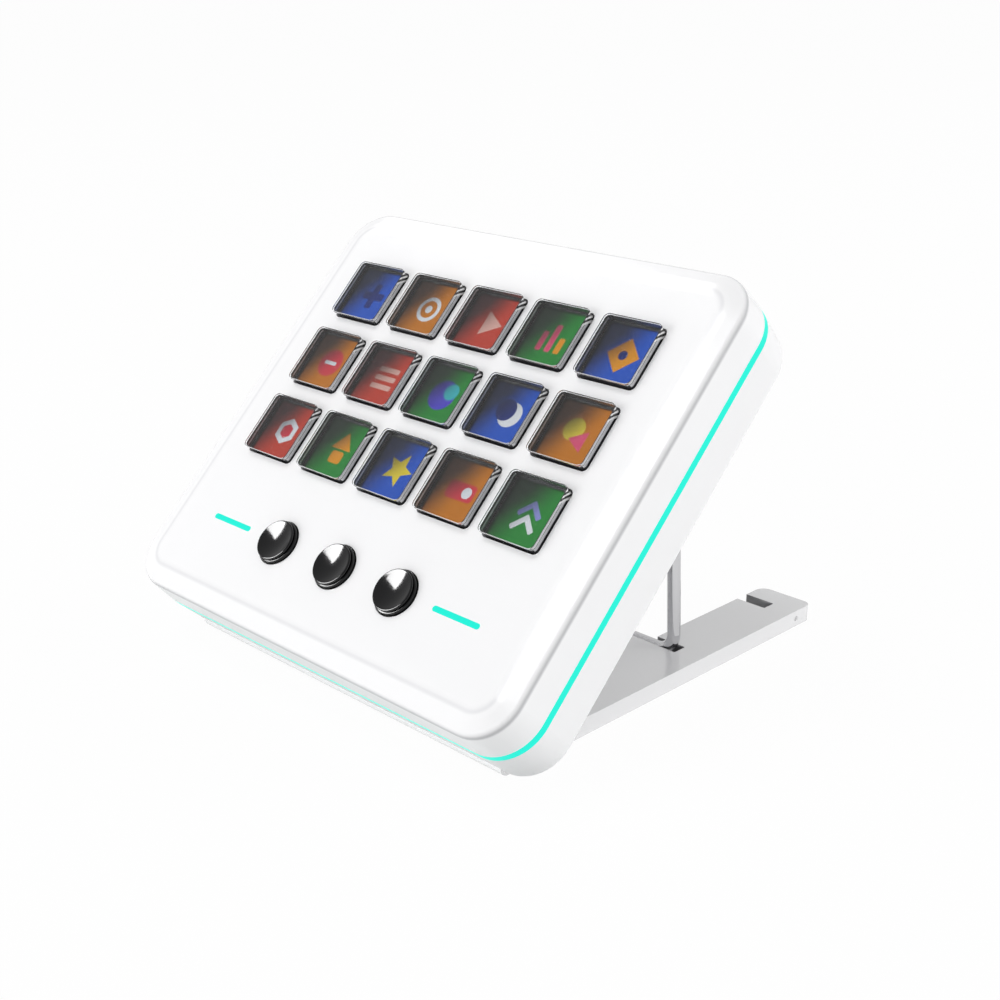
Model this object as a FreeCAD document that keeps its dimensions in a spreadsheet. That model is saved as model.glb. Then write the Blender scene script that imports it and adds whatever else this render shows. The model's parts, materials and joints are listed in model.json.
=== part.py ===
"""Desk macro keypad: fifteen clear picture keys and three push buttons on a folding wire-propped stand.

Lengths are millimetres. The keypad itself is drawn flat, face up: X to the right, Y up the face, Z out
of the face, with zero at the centre key's top. Its pieces are then tilted back by the stand's angle.
The stand is drawn in its own frame: X to the right, Y along the plate from the hinge, Z up.
"""
import FreeCAD, Part
import Sketcher
import math
import os

Vector = FreeCAD.Vector

SIZES = {
    "tilt_angle": 45.0,
    "key_pitch": 19.2,
    "key_columns": 5,
    "key_rows": 3,
    "key_width": 15.2,
    "key_depth": 14.8,
    "key_corner": 1.3,
    "key_plate": 0.7,
    "key_inset": 0.25,
    "key_travel": 1.2,
    "key_flange": 0.75,
    "flange_top": -5.2,
    "flange_bottom": -6.0,
    "key_gap": 0.3,
    "body_side": 60.2,
    "body_low": -64.3,
    "body_high": 42.9,
    "body_corner": 10.4,
    "body_draft": 0.6,
    "face_level": -2.1,
    "lip_level": -3.5,
    "roll_width": 4.6,
    "roll_radius": 11.0,
    "lip_radius": 1.1,
    "face_inside": -3.9,
    "seam_front": -11.6,
    "seam_rear": -13.4,
    "back_level": -24.6,
    "back_radius": 2.4,
    "wall": 2.0,
    "floor_inside": -18.8,
    "guide_bottom": -5.0,
    "mat_top": -6.0,
    "mat_bottom": -7.3,
    "film_bottom": -7.9,
    "glass_bottom": -9.0,
    "backlight_bottom": -11.2,
    "carrier_bottom": -12.4,
    "board_top": -12.9,
    "board_bottom": -14.1,
    "screen_width": 105.6,
    "screen_height": 67.2,
    "layer_margin": 3.2,
    "board_side": 56.0,
    "board_low": -36.2,
    "board_margin": 3.4,
    "board_corner": 6.0,
    "small_board_side": 50.0,
    "small_board_low": -53.0,
    "small_board_high": -36.8,
    "lamp_column": 54.6,
    "lamp_start": -28.0,
    "lamp_step": 12.0,
    "lamp_height": 0.7,
    "ribbon_side": 8.0,
    "ribbon_thick": 1.2,
    "button_row": -44.0,
    "button_pitch": 19.2,
    "button_top_r": 4.75,
    "button_ring_r": 5.05,
    "button_rim": -0.5,
    "button_dish": 0.9,
    "button_hole_r": 5.35,
    "button_stem_r": 1.6,
    "button_travel": 0.6,
    "bar_inner": 29.8,
    "bar_outer": 42.9,
    "bar_row": -43.8,
    "bar_width": 1.3,
    "recess_side": 49.8,
    "recess_floor": -20.3,
    "recess_top": 41.1,
    "channel_inner": 36.3,
    "channel_outer": 43.4,
    "channel_floor": -16.7,
    "channel_wall": 1.2,
    "cross_start": -4.04,
    "cross_end": 2.46,
    "cross_wall": 1.5,
    "socket_width": 9.0,
    "socket_height": 3.3,
    "socket_depth": 7.4,
    "socket_back": 0.9,
    "tongue_side": 3.3,
    "screw_column": 30.0,
    "screw_low": -56.5,
    "screw_high": 37.0,
    "post_r": 2.6,
    "post_split": -14.6,
    "screw_shank_r": 1.1,
    "screw_head_r": 2.1,
    "screw_head": 1.3,
    "plate_side": 49.4,
    "plate_thick": 4.0,
    "plate_length": 103.25,
    "plate_corner": 2.0,
    "arm_inner": 35.2,
    "notch_inner": 43.1,
    "near_notch": 59.15,
    "far_notch": 93.05,
    "notch_width": 3.7,
    "notch_floor": 0.9,
    "dimple_place": 97.2,
    "dimple_r": 0.65,
    "hinge_y": -62.54,
    "hinge_z": -22.6,
    "pin_r": 0.75,
    "pin_reach": 3.0,
    "pad_thick": 0.9,
    "pad_proud": 0.4,
    "pad_r": 4.2,
    "pad_column": 42.3,
    "pad_near": 9.0,
    "pad_far": 84.0,
    "wire_r": 1.5,
    "wire_bend": 4.5,
    "wire_base": 61.05,
    "wire_lift": 2.6,
    "wire_reach": 64.5,
    "wire_foot": 41.4,
    "wire_head": 38.2,
}

TILTED = "tilted"
STAND = "stand"


class Maker:
    """Makes document objects whose sizes are expressions of the sheet, and keeps the finished pieces."""

    def __init__(self, document):
        self.document = document
        self.sheet = document.addObject("Spreadsheet::Sheet", "sizes")
        for row, (alias, value) in enumerate(SIZES.items(), start=1):
            self.sheet.set(f"A{row}", alias)
            self.sheet.set(f"B{row}", str(value))
            self.sheet.setAlias(f"B{row}", alias)
        document.recompute()
        self.pieces = []

    def number(self, expression):
        """The number that an expression of the sheet stands for."""
        return float(self.sheet.evalExpression(str(expression)))

    def box(self, name, x_span, y_span, z_span):
        """A block between the two ends of each span."""
        block = self.document.addObject("Part::Box", name)
        spans = (("Length", "x", x_span), ("Width", "y", y_span), ("Height", "z", z_span))
        for size, place, (low, high) in spans:
            block.setExpression(size, f"({high}) - ({low})")
            block.setExpression(f".Placement.Base.{place}", str(low))
        return block

    def block(self, name, centre, halves, z_span):
        """A block about a centre, with its half width and half depth."""
        spans = [(f"{place} - {half}", f"{place} + {half}") for place, half in zip(centre, halves)]
        return self.box(name, *spans, z_span)

    def disc(self, name, centre, z_span, radius):
        """An upright cylinder about a centre."""
        disc = self.document.addObject("Part::Cylinder", name)
        low, high = z_span
        disc.setExpression("Radius", str(radius))
        disc.setExpression("Height", f"({high}) - ({low})")
        for place, start in zip("xyz", (centre[0], centre[1], low)):
            disc.setExpression(f".Placement.Base.{place}", str(start))
        return disc

    def rod(self, name, x_span, y_place, z_place, radius):
        """A cylinder lying along X."""
        rod = self.document.addObject("Part::Cylinder", name)
        low, high = x_span
        rod.Placement = FreeCAD.Placement(Vector(), FreeCAD.Rotation(Vector(0, 1, 0), 90))
        rod.setExpression("Radius", str(radius))
        rod.setExpression("Height", f"({high}) - ({low})")
        for place, start in zip("xyz", (low, y_place, z_place)):
            rod.setExpression(f".Placement.Base.{place}", str(start))
        return rod

    def fuse(self, name, shapes):
        """One solid out of several that overlap or touch."""
        joined = self.document.addObject("Part::MultiFuse", name)
        joined.Shapes = shapes
        joined.Refine = True
        return joined

    def cut(self, name, base, tools):
        """The base with every tool taken out of it."""
        tool = tools[0] if len(tools) == 1 else self.group(f"{name}_tools", tools)
        result = self.document.addObject("Part::Cut", name)
        result.Base = base
        result.Tool = tool
        return result

    def group(self, name, shapes):
        """Separate solids kept together in one piece."""
        compound = self.document.addObject("Part::Compound", name)
        compound.Links = shapes
        return compound

    def body(self, name):
        """An empty sketch-based body."""
        return self.document.addObject("PartDesign::Body", name)

    def sketch(self, body, name, level):
        """A sketch parallel to the body's XY plane at a level."""
        plane = next(item for item in body.Origin.OriginFeatures if item.Role == "XY_Plane")
        sketch = body.newObject("Sketcher::SketchObject", name)
        sketch.AttachmentSupport = [(plane, "")]
        sketch.MapMode = "FlatFace"
        sketch.setExpression(".AttachmentOffset.Base.z", str(level))
        return sketch

    def hold(self, sketch, kind, near, far, expression):
        """Fix the signed distance from the sketch's origin to a point, bound to the sheet."""
        value = self.number(expression)
        points = (*near, *far) if value >= 0 else (*far, *near)
        bound = expression if value >= 0 else f"-({expression})"
        index = sketch.addConstraint(Sketcher.Constraint(kind, *points, abs(value)))
        sketch.setExpression(f"Constraints[{index}]", str(bound))

    def rounded(self, sketch, x_span, y_span, corner):
        """Draw a rectangle with round corners in a sketch."""
        left, right = (self.number(end) for end in x_span)
        low, high = (self.number(end) for end in y_span)
        radius = self.number(corner)
        quarter = math.pi / 2
        start = sketch.GeometryCount
        runs = (
            ((left + radius, low), (right - radius, low)),
            ((right, low + radius), (right, high - radius)),
            ((right - radius, high), (left + radius, high)),
            ((left, high - radius), (left, low + radius)),
        )
        centres = (
            (right - radius, low + radius),
            (right - radius, high - radius),
            (left + radius, high - radius),
            (left + radius, low + radius),
        )
        for turn, (run, centre) in enumerate(zip(runs, centres)):
            sketch.addGeometry(Part.LineSegment(Vector(*run[0], 0), Vector(*run[1], 0)))
            circle = Part.Circle(Vector(*centre, 0), Vector(0, 0, 1), radius)
            sketch.addGeometry(Part.ArcOfCircle(circle, (turn - 1) * quarter, turn * quarter))
        lines = [start + 2 * turn for turn in range(4)]
        arcs = [line + 1 for line in lines]
        for turn in range(4):
            after = lines[(turn + 1) % 4]
            sketch.addConstraint(Sketcher.Constraint("Tangent", lines[turn], 2, arcs[turn], 1))
            sketch.addConstraint(Sketcher.Constraint("Tangent", arcs[turn], 2, after, 1))
            direction = "Vertical" if turn % 2 else "Horizontal"
            sketch.addConstraint(Sketcher.Constraint(direction, lines[turn]))
        for arc in arcs[1:]:
            sketch.addConstraint(Sketcher.Constraint("Equal", arcs[0], arc))
        index = sketch.addConstraint(Sketcher.Constraint("Radius", arcs[0], radius))
        sketch.setExpression(f"Constraints[{index}]", str(corner))
        origin = (-1, 1)
        self.hold(sketch, "DistanceX", origin, (lines[1], 1), x_span[1])
        self.hold(sketch, "DistanceX", origin, (lines[3], 1), x_span[0])
        self.hold(sketch, "DistanceY", origin, (lines[0], 1), y_span[0])
        self.hold(sketch, "DistanceY", origin, (lines[2], 1), y_span[1])

    def circle(self, sketch, x_place, y_place, radius):
        """Draw a circle in a sketch."""
        centre = Vector(self.number(x_place), self.number(y_place), 0)
        circle = Part.Circle(centre, Vector(0, 0, 1), self.number(radius))
        index = sketch.addGeometry(circle)
        size = sketch.addConstraint(Sketcher.Constraint("Radius", index, circle.Radius))
        sketch.setExpression(f"Constraints[{size}]", str(radius))
        self.hold(sketch, "DistanceX", (-1, 1), (index, 3), x_place)
        self.hold(sketch, "DistanceY", (-1, 1), (index, 3), y_place)

    def pad(self, body, name, z_span, x_span, y_span, corner):
        """Add a slab with round corners to a body."""
        low, high = z_span
        sketch = self.sketch(body, f"{name}_outline", low)
        self.rounded(sketch, x_span, y_span, corner)
        pad = body.newObject("PartDesign::Pad", name)
        pad.Profile = sketch
        pad.setExpression("Length", f"({high}) - ({low})")
        return pad

    def pocket(self, body, name, z_span, draw):
        """Cut straight down between two levels, with an outline that draw makes."""
        low, high = z_span
        sketch = self.sketch(body, f"{name}_outline", high)
        draw(sketch)
        self.document.recompute()
        before = body.Shape.Volume
        pocket = body.newObject("PartDesign::Pocket", name)
        pocket.Profile = sketch
        pocket.setExpression("Length", f"({high}) - ({low})")
        self.document.recompute()
        if not body.Shape.Volume < before:
            raise RuntimeError(f"{name} cuts nothing")
        return pocket

    def window_pocket(self, body, name, z_span, x_span, y_span, corner):
        """Cut an opening with round corners between two levels."""
        return self.pocket(body, name, z_span, lambda sketch: self.rounded(sketch, x_span, y_span, corner))

    def round_pocket(self, body, name, z_span, centre, radius):
        """Cut a round hole between two levels."""
        return self.pocket(body, name, z_span, lambda sketch: self.circle(sketch, *centre, radius))

    def key_windows(self, body, name, z_span, half_x, half_y, corner):
        """Cut one opening for every key."""
        column = "-(sizes.key_columns - 1) / 2 * sizes.key_pitch"
        row = "-(sizes.key_rows - 1) / 2 * sizes.key_pitch"
        x_span = (f"{column} - ({half_x})", f"{column} + ({half_x})")
        y_span = (f"{row} - ({half_y})", f"{row} + ({half_y})")
        first = self.window_pocket(body, name, z_span, x_span, y_span, corner)
        self.grid(body, f"{name}_grid", first)

    def grid(self, body, name, first):
        """Repeat a feature over the rows and columns of keys."""
        before = body.Shape.Volume
        transform = body.newObject("PartDesign::MultiTransform", name)
        steps = []
        for axis, count in (("X_Axis", "key_columns"), ("Y_Axis", "key_rows")):
            pattern = self.document.addObject("PartDesign::LinearPattern", f"{name}_{axis[0].lower()}")
            line = next(item for item in body.Origin.OriginFeatures if item.Role == axis)
            pattern.Direction = (line, [""])
            pattern.Mode = "Extent"
            pattern.setExpression("Length", f"(sizes.{count} - 1) * sizes.key_pitch")
            pattern.setExpression("Occurrences", f"sizes.{count}")
            steps.append(pattern)
        transform.Originals = [first]
        transform.Transformations = steps
        body.Tip = transform
        self.document.recompute()
        if not body.Shape.Volume < before:
            raise RuntimeError(f"{name} repeats nothing")

    def loft(self, body, name, sections):
        """Add a drafted block between two outlines, each a level, two spans and a corner radius."""
        sketches = []
        for index, (level, x_span, y_span, corner) in enumerate(sections):
            sketch = self.sketch(body, f"{name}_{index}", level)
            self.rounded(sketch, x_span, y_span, corner)
            sketches.append(sketch)
        loft = body.newObject("PartDesign::AdditiveLoft", name)
        loft.Profile = sketches[0]
        loft.Sections = sketches[1:]
        loft.Ruled = True
        self.document.recompute()
        return loft

    def fillet(self, body, name, level, radius):
        """Round the edges of a body that lie at one level."""
        self.document.recompute()
        height = self.number(level)
        shape = body.Shape
        edges = []
        for index, edge in enumerate(shape.Edges, start=1):
            if all(abs(vertex.Z - height) < 1e-4 for vertex in edge.Vertexes):
                edges.append(f"Edge{index}")
        base = body.Tip
        feature = body.newObject("PartDesign::Fillet", name)
        feature.Base = (base, edges)
        feature.setExpression("Radius", str(radius))
        self.document.recompute()
        if not feature.Shape.isValid():
            raise RuntimeError(f"{name} breaks its body")
        return feature

    def keep(self, shape, label, frame):
        """Name a finished piece and say which frame it was drawn in."""
        shape.Label = label
        self.pieces.append((shape, frame))


def outline(inset, corner_inset=None):
    """Spans and corner radius of the keypad's outline, drawn in by an inset."""
    drawn_in = f"({inset})"
    x_span = (f"-sizes.body_side + {drawn_in}", f"sizes.body_side - {drawn_in}")
    y_span = (f"sizes.body_low + {drawn_in}", f"sizes.body_high - {drawn_in}")
    return x_span, y_span, f"sizes.body_corner - ({corner_inset or inset})"


def mirrored(inner, outer):
    """The left and the right span of something that stands on both sides."""
    return (("left", (f"-{outer}", f"-{inner}")), ("right", (inner, outer)))


def screw_places():
    """Where the four shell screws stand."""
    for side, column in (("left", "-sizes.screw_column"), ("right", "sizes.screw_column")):
        for end, row in (("low", "sizes.screw_low"), ("high", "sizes.screw_high")):
            yield f"{side}_{end}", (column, row)


def make_front_shell(maker):
    """White front housing: crowned face, fifteen key windows, button holes and two light slots."""
    body = maker.body("front_block")
    maker.loft(body, "front_wall", (
        ("sizes.seam_front", *outline("0")),
        ("sizes.lip_level", *outline("sizes.body_draft")),
    ))
    maker.loft(body, "front_roll", (
        ("sizes.lip_level", *outline("sizes.body_draft")),
        ("sizes.face_level", *outline("sizes.body_draft + sizes.roll_width")),
    ))
    maker.fillet(body, "face_round", "sizes.face_level", "sizes.roll_radius")
    maker.fillet(body, "lip_round", "sizes.lip_level", "sizes.lip_radius")
    x_span, y_span, corner = outline("sizes.wall + sizes.body_draft")
    cavity = maker.body("front_cavity")
    depth = ("sizes.seam_front - 1", "sizes.face_inside")
    maker.pad(cavity, "front_cavity_pad", depth, x_span, y_span, corner)
    clear = "sizes.key_gap / 2"
    through = ("sizes.face_inside - 1", "sizes.face_level")
    maker.key_windows(body, "key_window", through,
                      f"sizes.key_width / 2 + {clear}", f"sizes.key_depth / 2 + {clear}", "sizes.key_corner")
    for index, side in enumerate((-1, 0, 1)):
        centre = (f"{side} * sizes.button_pitch", "sizes.button_row")
        maker.round_pocket(body, f"button_hole_{index}", through, centre, "sizes.button_hole_r")
    y_bar = ("sizes.bar_row - sizes.bar_width / 2", "sizes.bar_row + sizes.bar_width / 2")
    for side, span in mirrored("sizes.bar_inner", "sizes.bar_outer"):
        maker.window_pocket(body, f"bar_slot_{side}", through, span, y_bar, "sizes.bar_width / 2 - 0.01")
    shell = maker.cut("front_hollow", body, [cavity])
    posts = []
    holes = []
    for where, centre in screw_places():
        posts.append(maker.disc(f"front_post_{where}", centre,
                                ("sizes.post_split", "sizes.face_inside + 0.2"), "sizes.post_r"))
        holes.append(maker.disc(f"front_pilot_{where}", centre,
                                ("sizes.post_split - 1", "sizes.face_inside - 1.2"), "sizes.screw_shank_r"))
    joined = maker.fuse("front_with_posts", [shell, *posts])
    maker.keep(maker.cut("front_piece", joined, holes), "front_shell", TILTED)


def make_rear_shell(maker):
    """White back housing: rounded edge, recess for the folded stand and channels for its wire."""
    body = maker.body("rear_block")
    maker.loft(body, "rear_wall", (
        ("sizes.seam_rear", *outline("0")),
        ("sizes.back_level", *outline("sizes.body_draft")),
    ))
    maker.fillet(body, "back_round", "sizes.back_level", "sizes.back_radius")
    x_span, y_span, corner = outline("sizes.wall + sizes.body_draft")
    cavity = maker.body("rear_cavity")
    depth = ("sizes.floor_inside", "sizes.seam_rear + 1")
    maker.pad(cavity, "rear_cavity_pad", depth, x_span, y_span, corner)
    shell = maker.cut("rear_hollow", body, [cavity])
    below = "sizes.back_level - 1"
    beyond = "sizes.body_high + 2"
    tools = [
        maker.box("stand_recess", ("-sizes.recess_side", "sizes.recess_side"),
                  ("sizes.body_low - 2", "sizes.recess_top"), (below, "sizes.recess_floor")),
        maker.box("cross_channel", ("-sizes.channel_outer", "sizes.channel_outer"),
                  ("sizes.cross_start", "sizes.cross_end"), (below, "sizes.channel_floor")),
        maker.rod("hinge_bore", ("-sizes.plate_side - sizes.pin_reach", "sizes.plate_side + sizes.pin_reach"),
                  "sizes.hinge_y", "sizes.hinge_z", "sizes.pin_r + 0.05"),
    ]
    casing = ("sizes.floor_inside - 1", "sizes.channel_floor + sizes.channel_wall")
    case_start = "sizes.cross_start - sizes.cross_wall"
    added = [
        shell,
        maker.box("cross_case", ("-sizes.channel_outer", "sizes.channel_outer"),
                  (case_start, "sizes.cross_end + sizes.cross_wall"), casing),
    ]
    for side, (start, end) in mirrored("sizes.channel_inner", "sizes.channel_outer"):
        added.append(maker.box(f"channel_case_{side}",
                               (f"{start} - sizes.channel_wall", f"{end} + sizes.channel_wall"),
                               (case_start, "sizes.body_high - sizes.channel_wall"), casing))
        tools.append(maker.box(f"channel_{side}", (start, end), ("sizes.cross_start", beyond),
                               (below, "sizes.channel_floor")))
    for where, centre in screw_places():
        added.append(maker.disc(f"rear_boss_{where}", centre,
                                ("sizes.floor_inside - 0.5", "sizes.post_split"), "sizes.post_r"))
        tools.append(maker.disc(f"screw_hole_{where}", centre,
                                (below, "sizes.post_split + 1"), "sizes.screw_shank_r + 0.15"))
        tools.append(maker.disc(f"screw_sink_{where}", centre,
                                (below, "sizes.recess_floor + sizes.screw_head"),
                                "sizes.screw_head_r + 0.15"))
    half = "(sizes.socket_width / 2 + 0.15)"
    middle = "(sizes.board_bottom - sizes.socket_height / 2)"
    tools.append(maker.box("socket_mouth", (f"-{half}", half), ("sizes.body_high - 6", beyond),
                           (f"{middle} - sizes.socket_height / 2 - 0.15",
                            f"{middle} + sizes.socket_height / 2 + 0.15")))
    joined = maker.fuse("rear_with_cases", added)
    maker.keep(maker.cut("rear_piece", joined, tools), "rear_shell", TILTED)


def make_light_ring(maker):
    """Cyan light guide that runs round the seam between the two shells."""
    body = maker.body("ring_block")
    x_span, y_span, corner = outline("0")
    maker.pad(body, "ring_pad", ("sizes.seam_rear", "sizes.seam_front"), x_span, y_span, corner)
    x_span, y_span, corner = outline("sizes.wall + sizes.body_draft")
    maker.window_pocket(body, "ring_hole", ("sizes.seam_rear", "sizes.seam_front"), x_span, y_span, corner)
    maker.keep(body, "light_ring", TILTED)


def make_light_bars(maker):
    """Two cyan light guides let into the face beside the buttons."""
    rows = ("sizes.bar_row - sizes.bar_width / 2", "sizes.bar_row + sizes.bar_width / 2")
    for side, span in mirrored("sizes.bar_inner", "sizes.bar_outer"):
        body = maker.body(f"bar_block_{side}")
        maker.pad(body, f"bar_pad_{side}", ("sizes.face_inside - 0.8", "sizes.face_level"), span, rows,
                  "sizes.bar_width / 2 - 0.01")
        maker.keep(body, f"light_bar_{side}", TILTED)


def make_keycaps(maker):
    """Fifteen clear caps: a thin top plate, a set-in block under it and a flange that keeps it in."""
    for row in range(SIZES["key_rows"]):
        for column in range(SIZES["key_columns"]):
            name = f"r{row + 1}c{column + 1}"
            x_place = f"({column} - (sizes.key_columns - 1) / 2) * sizes.key_pitch"
            y_place = f"((sizes.key_rows - 1) / 2 - {row}) * sizes.key_pitch"
            body = maker.body(f"cap_block_{name}")
            steps = (
                ("flange", ("sizes.flange_bottom", "sizes.flange_top"), "sizes.key_flange"),
                ("block", ("sizes.flange_top", "-sizes.key_plate"), "-sizes.key_inset"),
                ("plate", ("-sizes.key_plate", "0"), "0"),
            )
            for step, z_span, margin in steps:
                half_x = f"(sizes.key_width / 2 + {margin})"
                half_y = f"(sizes.key_depth / 2 + {margin})"
                maker.pad(body, f"cap_{step}_{name}", z_span,
                          (f"{x_place} - {half_x}", f"{x_place} + {half_x}"),
                          (f"{y_place} - {half_y}", f"{y_place} + {half_y}"), "sizes.key_corner")
            maker.keep(body, f"keycap_{name}", TILTED)


def make_buttons(maker):
    """Three round push buttons: a dished cap on a wider ring, with a stem and a flange below the face."""
    for side, name in ((-1, "left"), (0, "middle"), (1, "right")):
        centre = (f"{side} * sizes.button_pitch", "sizes.button_row")
        rim = "sizes.button_rim"
        cap = maker.disc(f"button_cap_{name}", centre, (f"{rim} - 0.55", rim), "sizes.button_top_r")
        neck = maker.disc(f"button_neck_{name}", centre, (f"{rim} - 0.8", f"{rim} - 0.55"),
                          "sizes.button_top_r - 0.3")
        ring = maker.disc(f"button_ring_{name}", centre, ("sizes.face_inside - 0.6", f"{rim} - 0.8"),
                          "sizes.button_ring_r")
        flange = maker.disc(f"button_flange_{name}", centre,
                            ("sizes.face_inside - 1.4", "sizes.face_inside - 0.5"),
                            "sizes.button_ring_r + 0.9")
        stem = maker.disc(f"button_stem_{name}", centre,
                          ("sizes.carrier_bottom + 3.2", "sizes.face_inside - 1.4"), "sizes.button_stem_r")
        solid = maker.fuse(f"button_solid_{name}", [cap, neck, ring, flange, stem])
        dish = maker.document.addObject("Part::Sphere", f"button_dish_{name}")
        hollow_r = "((sizes.button_top_r - 0.35) ^ 2 + sizes.button_dish ^ 2) / (2 * sizes.button_dish)"
        dish.setExpression("Radius", hollow_r)
        dish.setExpression(".Placement.Base.x", centre[0])
        dish.setExpression(".Placement.Base.y", centre[1])
        dish.setExpression(".Placement.Base.z", f"{rim} + {hollow_r} - sizes.button_dish")
        maker.keep(maker.cut(f"button_piece_{name}", solid, [dish]), f"button_{name}", TILTED)


def make_key_layers(maker):
    """What lies under the caps: the guide frame, the rubber mat and the contact film, all windowed."""
    across = "(sizes.key_columns - 1) / 2 * sizes.key_pitch"
    along = "(sizes.key_rows - 1) / 2 * sizes.key_pitch"
    reach_x = f"({across} + sizes.key_width / 2 + sizes.layer_margin)"
    reach_y = f"({along} + sizes.key_depth / 2 + sizes.layer_margin)"
    layers = (
        ("key_guide", "sizes.guide_bottom", "sizes.face_inside", "0"),
        ("key_mat", "sizes.mat_bottom", "sizes.mat_top", "-0.9"),
        ("key_film", "sizes.film_bottom", "sizes.mat_bottom", "-0.6"),
    )
    for name, low, high, margin in layers:
        body = maker.body(f"{name}_block")
        maker.pad(body, f"{name}_pad", (low, high), (f"-{reach_x}", reach_x), (f"-{reach_y}", reach_y), "2")
        maker.key_windows(body, f"{name}_window", (low, high), f"sizes.key_width / 2 + {margin}",
                          f"sizes.key_depth / 2 + {margin}", "sizes.key_corner")
        maker.keep(body, name, TILTED)


def make_screen(maker):
    """The one screen under all the keys: glass panel, backlight tray and the carrier that holds them."""
    half_x = "(sizes.screen_width / 2)"
    half_y = "(sizes.screen_height / 2)"
    layers = (
        ("screen_panel", "sizes.glass_bottom", "sizes.film_bottom", "0", "0.6"),
        ("screen_backlight", "sizes.backlight_bottom", "sizes.glass_bottom", "0.4", "1"),
        ("screen_carrier", "sizes.carrier_bottom", "sizes.backlight_bottom", "-0.4", "2"),
    )
    for name, low, high, margin, corner in layers:
        body = maker.body(f"{name}_block")
        maker.pad(body, f"{name}_pad", (low, high), (f"-{half_x} + {margin}", f"{half_x} - {margin}"),
                  (f"-{half_y} + {margin}", f"{half_y} - {margin}"), corner)
        maker.keep(body, name, TILTED)


def make_boards(maker):
    """The main board behind the screen and the small board behind the buttons."""
    levels = ("sizes.board_bottom", "sizes.board_top")
    board = maker.body("board_block")
    maker.pad(board, "board_pad", levels, ("-sizes.board_side", "sizes.board_side"),
              ("sizes.board_low", "sizes.body_high - sizes.board_margin"), "sizes.board_corner")
    for index, side in enumerate((-1, 1)):
        centre = (f"{side} * sizes.screw_column", "sizes.screw_high")
        maker.round_pocket(board, f"board_hole_{index}", levels, centre, "sizes.post_r + 0.3")
    maker.keep(board, "main_board", TILTED)
    small = maker.body("button_board_block")
    maker.pad(small, "button_board_pad", levels, ("-sizes.small_board_side", "sizes.small_board_side"),
              ("sizes.small_board_low", "sizes.small_board_high"), "2")
    maker.keep(small, "button_board", TILTED)


def make_switches(maker):
    """Three square switches, each with a round tip, under the buttons."""
    top = "sizes.board_top"
    switches = []
    for index, side in enumerate((-1, 0, 1)):
        x_place = f"{side} * sizes.button_pitch"
        case = maker.block(f"switch_case_{index}", (x_place, "sizes.button_row"), (3, 3),
                           (top, f"{top} + 2.2"))
        tip = maker.disc(f"switch_tip_{index}", (x_place, "sizes.button_row"),
                         (f"{top} + 2", f"{top} + 2.9"), "1.2")
        switches.append(maker.fuse(f"switch_{index}", [case, tip]))
    maker.keep(maker.group("switch_group", switches), "button_switches", TILTED)


def make_chips(maker):
    """Chips on the back of the main board."""
    under = "sizes.board_bottom"
    chips = []
    for name, centre, half, tall in (
        ("processor", (0, 2), 6, 1.2),
        ("memory", (-16, 4), 4.5, 1.0),
        ("flash", (-16, -9), 3, 1.0),
        ("regulator", (14, -12), 2.5, 1.4),
        ("driver", (15, 4), 3.5, 1.0),
    ):
        chips.append(maker.block(f"chip_{name}", centre, (half, half), (f"{under} - {tall}", under)))
    maker.keep(maker.group("chip_group", chips), "main_chips", TILTED)


def make_lamps(maker):
    """Small lamps that feed the light ring and the two light bars."""
    levels = ("sizes.board_top", "sizes.board_top + sizes.lamp_height")
    lamps = []
    for index in range(6):
        y_place = f"sizes.lamp_start + {index} * sizes.lamp_step"
        for side, sign in (("left", -1), ("right", 1)):
            centre = (f"{sign} * sizes.lamp_column", y_place)
            lamps.append(maker.block(f"ring_lamp_{index}_{side}", centre, (1, 1.5), levels))
    maker.keep(maker.group("ring_lamp_group", lamps), "ring_leds", TILTED)
    lamps = []
    for side, sign in (("left", -1), ("right", 1)):
        centre = (f"{sign} * (sizes.bar_inner + sizes.bar_outer) / 2", "sizes.bar_row")
        lamps.append(maker.block(f"bar_lamp_{side}", centre, (2, 1.5), levels))
    maker.keep(maker.group("bar_lamp_group", lamps), "bar_leds", TILTED)


def make_ribbon(maker):
    """Flat ribbon from the main board up round the tray's edge to the underside of the glass."""
    x_span = ("-sizes.ribbon_side", "sizes.ribbon_side")
    edge = "-sizes.screen_height / 2"
    low = f"{edge} - 2.4"
    under = "sizes.glass_bottom - 0.4"
    rise = maker.box("ribbon_rise", x_span, (low, f"{low} + sizes.ribbon_thick"), ("sizes.board_top", under))
    tab = maker.box("ribbon_tab", x_span, (low, f"{edge} + 0.2"), (under, "sizes.glass_bottom"))
    maker.keep(maker.fuse("ribbon_piece", [rise, tab]), "screen_ribbon", TILTED)


def make_socket(maker):
    """Flat metal socket with a middle tongue, for the lead's plug in the top edge."""
    half = "(sizes.socket_width / 2)"
    top = "sizes.board_bottom"
    middle = f"{top} - sizes.socket_height / 2"
    mouth = "sizes.body_high - sizes.socket_back"
    back = f"{mouth} - sizes.socket_depth"
    case = maker.body("socket_block")
    maker.pad(case, "socket_pad", (f"{top} - sizes.socket_height", top), (f"-{half}", half),
              (back, mouth), "0.3")
    hollow = maker.box("socket_hollow", (f"-{half} + 0.4", f"{half} - 0.4"),
                       (f"{back} + 1.3", f"{mouth} + 1"),
                       (f"{top} - sizes.socket_height + 0.35", f"{top} - 0.35"))
    tongue = maker.box("socket_tongue", ("-sizes.tongue_side", "sizes.tongue_side"),
                       (f"{back} + 0.7", f"{mouth} - 0.8"), (f"{middle} - 0.35", f"{middle} + 0.35"))
    shell = maker.cut("socket_shell", case, [hollow])
    maker.keep(maker.fuse("socket_piece", [shell, tongue]), "lead_socket", TILTED)


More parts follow.
